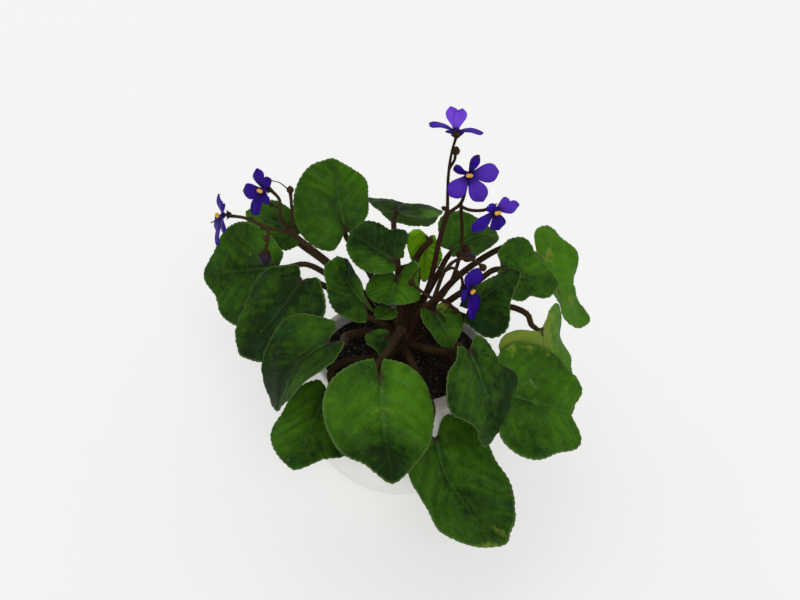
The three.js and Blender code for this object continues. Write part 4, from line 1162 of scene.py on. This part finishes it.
def soil_profile(wall):
    """Radius and height of the soil from its base up the wall, over the top and down the stem hole."""
    base = POT_FLOOR + GAP
    side = [pot_bulge(t) for t in np.linspace(0.06, 1, 12)]
    side += [pot_shoulder(t) for t in np.linspace(0, 0.9, 12)[1:]]
    side = [(r - POT_WALL - GAP - 0.1, max(z, base)) for r, z in side]
    radii = np.linspace(wall - 0.2, STEM_HOLE_RADIUS, SOIL_RINGS)
    top = [(r, SOIL_HEIGHT - 0.6 * (r / wall) ** 8) for r in radii]
    hole = [(STEM_HOLE_RADIUS, SOIL_HEIGHT - STEM_HOLE_DEPTH), (0, SOIL_HEIGHT - STEM_HOLE_DEPTH)]
    return [(0, base), (POT_FOOT_RADIUS - POT_WALL - 1.6, base), *side, *top, *hole]


def soil_relief(x, y):
    """Height of the lumps on the soil, in three sizes."""
    broad = np.sin(0.61 * x + 0.2 * y) * np.cos(0.52 * y - 0.3 * x)
    middle = np.sin(1.9 * x + 0.7 * y) * np.cos(1.3 * y - 0.4 * x)
    fine = np.sin(4.3 * x - 1.1 * y) * np.sin(3.9 * y + 1.7 * x)
    return 1.1 * broad + 0.7 * middle + 0.35 * fine


class VIOLET_OT_soil(bpy.types.Operator):
    """Makes the soil with its stem hole, and scatters crumbs over it"""

    bl_idname = "violet.soil"
    bl_label = "Make the Soil"

    def execute(self, context):
        sizes, colours = context.scene.violet_sizes, context.scene.violet_colours
        wall = POT_NECK_RADIUS - POT_WALL - GAP
        points, faces = turned(soil_profile(wall), SOIL_SIDES)
        x, y, z = points.T
        r = np.hypot(x, y)
        loose = (z > SOIL_HEIGHT - 2) & (r > STEM_HOLE_RADIUS + 0.2)
        calm = np.clip((r - STEM_HOLE_RADIUS) / 4, 0, 1) * np.clip((wall - r) / 3, 0, 1)
        points[:, 2] += np.where(loose, soil_relief(x, y) * calm, 0)
        mesh = mesh_of("soil_body", points, faces)
        low = (SOIL_HEIGHT - 3) * MM
        add_numbers(mesh, "loose", [p.normal.z > 0.2 and p.center.z > low for p in mesh.polygons], "FACE")
        piece = add_object("soil_peat", mesh, soil_finish(colours))
        crumbs = crumb_tree().run(piece, "soil_crumbs", {
            "Density": sizes.crumbs, "Size": sizes.crumb_size, "Seed": sizes.seed,
            "Material": crumb_finish(colours)})
        dress(piece, "soil", "soil")
        dress(add_object("soil_crumbs", crumbs, smooth=False), "soil")
        return {"FINISHED"}


def stem_runs():
    """Every petiole, stalk and pedicel as its points and its radius at each of them."""
    runs = []
    for leaf in LEAVES.values():
        radii = np.linspace(PETIOLE_RADIUS, PETIOLE_END, PETIOLE_POINTS)
        radii[-len(PETIOLE_LAST):] = PETIOLE_LAST
        runs.append((smooth_path(petiole_path(leaf), PETIOLE_POINTS), radii))
    for points, root, tip in STEMS:
        count = 12 * len(points)
        t = np.linspace(0, 1, count)
        swell = 0.18 * np.exp(-((t - 1) / 0.08) ** 2) + 0.2 * np.exp(-(t / 0.06) ** 2)
        runs.append((smooth_path(points, count), root + (tip - root) * t + swell))
    return runs


def grown_parts():
    """The crown, the small buds, and the calyces of flowers and closed buds."""
    foot = SOIL_HEIGHT - STEM_HOLE_DEPTH + GAP
    low = [(0, foot), (CROWN_RADIUS - 1.5, foot), (CROWN_RADIUS, SOIL_HEIGHT - 4)]
    end = [(CROWN_RADIUS - inwards, CROWN_TOP - down) for inwards, down in CROWN_END]
    parts = [turned([*low, *end, (0, CROWN_TOP)], CROWN_SIDES)]
    parts += [knob(*k, sides=16, rings=11, point=0.35) for k in KNOBS]
    for flower in FLOWERS.values():
        parts += calyx(flower)
    for centre, direction, radius, length in BUDS.values():
        parts += bud_sepals(np.array(centre, float), unit(direction), radius, length)
    return parts


class VIOLET_OT_stems(bpy.types.Operator):
    """Makes the crown, petioles, flower stalks, calyces and small buds, and their hairs"""

    bl_idname = "violet.stems"
    bl_label = "Make the Stems"

    def execute(self, context):
        sizes, colours = context.scene.violet_sizes, context.scene.violet_colours
        finish = stem_finish(colours)
        source = paths_object(stem_runs())
        tubes = tube_tree().run(source, "stem_tubes", {"Sides": sizes.stem_sides, "Material": finish})
        drop(source)
        whole = combine([tubes, mesh_of("crown", *joined(grown_parts()))], "crown_and_stems")
        low = (SOIL_HEIGHT + 3) * MM
        add_numbers(whole, "hairy", [p.center.z > low for p in whole.polygons], "FACE")
        piece = add_object("stems_and_crown", whole, finish)
        dress(piece, "stem", "crown_and_stems")
        grow_hairs(
            piece, "stem", sizes.stem_hairs, sizes.hair_length, sizes.hair_width, sizes.seed,
            hair_finish(colours))
        return {"FINISHED"}


def calyx(flower):
    """The small cup behind a flower and its five narrow sepals."""
    centre, face, up, right = flower_axes(flower)
    heart = centre - CALYX_BACK * face
    parts = [knob(heart, face, CALYX_RADIUS, 3.2, sides=16)]
    for i in range(SEPALS):
        turn = 2 * math.pi * (i + 0.5) / SEPALS
        out = up * math.cos(turn) + right * math.sin(turn)
        bend, tip = heart + 1.6 * out + 0.1 * face, heart + 2.6 * out + 1.2 * face
        parts.append(tube_between([heart, bend, tip], 0.75, 0.12))
    return parts


def bud_sepals(centre, axis, radius, length):
    """Five narrow sepals pressed to a bud, from its stalk end forwards."""
    flat = unit(np.cross(axis, (0.3, 0.8, 0.4)))
    other = np.cross(axis, flat)
    root = centre - 0.5 * length * axis
    parts = [knob(root, axis, 0.55 * radius, 2, sides=12)]
    for i in range(SEPALS):
        out = flat * math.cos(1.26 * i) + other * math.sin(1.26 * i)
        bend, tip = root + 0.8 * axis + 0.75 * radius * out, root + 3.2 * axis + 1.12 * radius * out
        parts.append(tube_between([root, bend, tip], 0.6, 0.15))
    return parts


def grow_hairs(source, slot, density, length, width, seed, finish):
    """Hairs on the marked faces of the source, as a piece of their own."""
    hairs = hair_tree().run(source, slot + "_hairs", {
        "Density": density, "Length": length, "Width": width, "Seed": seed, "Material": finish})
    dress(add_object(slot + "_hairs", hairs, smooth=False), slot)


def combine(meshes, name):
    """Meshes joined into a new one, keeping closed shells and number attributes."""
    work = bmesh.new()
    for mesh in meshes:
        work.from_mesh(mesh)
    bmesh.ops.recalc_face_normals(work, faces=work.faces)
    target = bpy.data.meshes.new(name)
    work.to_mesh(target)
    work.free()
    return target


class VIOLET_OT_leaves(bpy.types.Operator):
    """Makes the leaf blades and the hairs on their margins"""

    bl_idname = "violet.leaves"
    bl_label = "Make the Leaves"

    def execute(self, context):
        sizes, colours = context.scene.violet_sizes, context.scene.violet_colours
        finish = leaf_finish(colours)
        blades = {name: leaf_mesh(name, leaf, sizes) for name, leaf in LEAVES.items()}
        for name, mesh in blades.items():
            dress(add_object(name.replace("leaf", "blade"), mesh, finish), "leaf", name)
        source = add_object("all_blades", combine(blades.values(), "all_blades"))
        grow_hairs(
            source, "leaf", sizes.margin_hairs, 0.9 * sizes.hair_length, 0.8 * sizes.hair_width,
            sizes.seed + 1, hair_finish(colours))
        drop(source)
        return {"FINISHED"}


def corolla_mesh(name, flower, thickness, order):
    """The petals, tube and style of a flower, with the numbers that their finish reads."""
    axes = flower_axes(flower)
    centre, face, up, _ = axes
    parts, numbers = [], []
    for k, which in enumerate(flower[2]):
        points, faces, along, fan = petal(which, axes, thickness, order + 2.3 * k)
        dry = np.clip(along * 5 - 4, 0, 1) * ((name, k) == DRY_PETAL)
        parts.append((points, faces))
        numbers.append((along, fan, dry, np.full(len(points), PETAL_LIGHT_AND_SHADE[name][k])))
    style = [centre - 1.2 * up, centre - 2.6 * up + 3 * face, centre - 4.2 * up + 6.2 * face]
    for extra in (knob(centre, face, FLOWER_TUBE, 2.6, sides=20), tube_between(style, 0.4, 0.3)):
        parts.append(extra)
        numbers.append([np.full(len(extra[0]), v) for v in (0.1, 0, 0, 0)])
    marks = dict(zip(("along", "fan", "dry", "pale"), map(np.concatenate, zip(*numbers))))
    return mesh_of(name, *joined(parts), marks)


def anther_mesh(name, flower):
    """The two anthers side by side in a flower's middle."""
    centre, face, up, right = flower_axes(flower)
    lobes = []
    for k in (-1, 1):
        at = centre + ANTHER_AHEAD * face + ANTHER_ASIDE * k * right
        way = right + 0.5 * k * face + 0.25 * up
        lobes.append(knob(at, way, ANTHER_RADIUS, ANTHER_LENGTH, sides=18, rings=12))
    return mesh_of(name, *joined(lobes))


class VIOLET_OT_flowers(bpy.types.Operator):
    """Makes the petals and the anthers of the open flowers"""

    bl_idname = "violet.flowers"
    bl_label = "Make the Flowers"

    def execute(self, context):
        sizes, colours = context.scene.violet_sizes, context.scene.violet_colours
        violet, yellow = petal_finish(colours), anther_finish(colours)
        for order, (name, flower) in enumerate(FLOWERS.items()):
            mesh = corolla_mesh(name, flower, sizes.petal_thickness / MM, order)
            dress(add_object(name.replace("flower", "petals"), mesh, violet), "petal", name + "_petals")
            mesh = anther_mesh(name + "_anthers", flower)
            dress(add_object(name.replace("flower", "anthers"), mesh, yellow), "anther", name + "_anthers")
        return {"FINISHED"}


def bud_mesh(name, centre, direction, radius, length):
    """A closed bud with five soft ridges."""
    points, faces = knob(centre, direction, radius, length, sides=28, rings=18, point=0.3)
    axis = unit(direction)
    away = points - np.asarray(centre)
    run = away @ axis
    flat = away - run[:, None] * axis
    level = unit(np.cross(axis, (0.2, 0.9, 0.3)))
    turn = np.arctan2(flat @ level, flat @ np.cross(axis, level))
    ridge = 1 + 0.09 * np.cos(SEPALS * turn + 0.5 * run) * np.clip(run / length + 0.6, 0, 1)
    return mesh_of(name, np.asarray(centre) + run[:, None] * axis + flat * ridge[:, None], faces)


class VIOLET_OT_buds(bpy.types.Operator):
    """Makes the two closed violet buds"""

    bl_idname = "violet.buds"
    bl_label = "Make the Buds"

    def execute(self, context):
        finish = bud_finish(context.scene.violet_colours)
        for name, shape in BUDS.items():
            dress(add_object(name + "_petals", bud_mesh(name, *shape), finish), "bud", name)
        return {"FINISHED"}


def add_sun(name, place, power, spread):
    """A distant light that shines from the place towards the plant."""
    data = bpy.data.lights.new(name, "SUN")
    data.energy = power
    data.angle = math.radians(spread)
    lamp = bpy.data.objects.new(name, data)
    lamp.rotation_euler = (-Vector(place)).to_track_quat("-Z", "Y").to_euler()
    bpy.context.scene.collection.objects.link(lamp)


def camera_turn():
    """Turn of the camera from its pitch and tilt."""
    pitch, tilt = math.radians(CAMERA_PITCH), math.radians(CAMERA_TILT)
    ahead = Vector((0, math.cos(pitch), -math.sin(pitch)))
    level = Vector((1, 0, 0))
    above = level.cross(ahead)
    right = level * math.cos(tilt) + above * math.sin(tilt)
    over = above * math.cos(tilt) - level * math.sin(tilt)
    return Matrix((right, over, -ahead)).transposed().to_4x4()


class VIOLET_OT_stage(bpy.types.Operator):
    """Sets the floor, the light and the camera"""

    bl_idname = "violet.stage"
    bl_label = "Set the Stage"

    def execute(self, context):
        scene = context.scene
        corners = [(x * FLOOR_REACH, y * FLOOR_REACH, 0) for x, y in ((-1, -1), (1, -1), (1, 1), (-1, 1))]
        mesh = mesh_of("floor", corners, [(0, 1, 2, 3)])
        floor = add_object("floor", mesh, floor_finish(scene.violet_colours))
        scene.world = bpy.data.worlds.new("soft_sky")
        scene.world.use_nodes = True
        sky = scene.world.node_tree.nodes["Background"].inputs
        sky["Color"].default_value = (1, 1, 1, 1)
        sky["Strength"].default_value = SKY_STRENGTH
        for light in LIGHTS:
            add_sun(*light)
        data = bpy.data.cameras.new("camera")
        data.lens = CAMERA_LENS
        data.sensor_width = SENSOR_WIDTH
        camera = bpy.data.objects.new("camera", data)
        camera.matrix_world = Matrix.Translation(Vector(CAMERA_PLACE) * MM) @ camera_turn()
        scene.collection.objects.link(camera)
        scene.camera = camera
        scene.view_settings.view_transform = "Standard"
        return {"FINISHED"}


class VIOLET_PT_panel(bpy.types.Panel):
    bl_idname = "VIOLET_PT_panel"
    bl_label = "Potted African Violet"
    bl_space_type = "VIEW_3D"
    bl_region_type = "UI"
    bl_category = "Violet"

    def draw(self, context):
        layout = self.layout
        for step in STEPS:
            layout.operator(step.bl_idname)
        for group in (context.scene.violet_sizes, context.scene.violet_colours):
            box = layout.box()
            for name in group.__annotations__:
                box.prop(group, name)


STEPS = (
    VIOLET_OT_pot, VIOLET_OT_soil, VIOLET_OT_stems, VIOLET_OT_leaves, VIOLET_OT_flowers, VIOLET_OT_buds,
    VIOLET_OT_stage)
CLASSES = (VioletSizes, VioletColours, *STEPS, VIOLET_PT_panel)


def register():
    for kind in CLASSES:
        bpy.utils.register_class(kind)
    bpy.types.Scene.violet_sizes = PointerProperty(type=VioletSizes)
    bpy.types.Scene.violet_colours = PointerProperty(type=VioletColours)


def unregister():
    del bpy.types.Scene.violet_colours
    del bpy.types.Scene.violet_sizes
    for kind in reversed(CLASSES):
        bpy.utils.unregister_class(kind)


def main():
    register()
    bpy.ops.violet.pot()
    bpy.ops.violet.soil()
    bpy.ops.violet.stems()
    bpy.ops.violet.leaves()
    bpy.ops.violet.flowers()
    bpy.ops.violet.buds()
    bpy.ops.violet.stage()


if __name__ == "__main__":
    main()
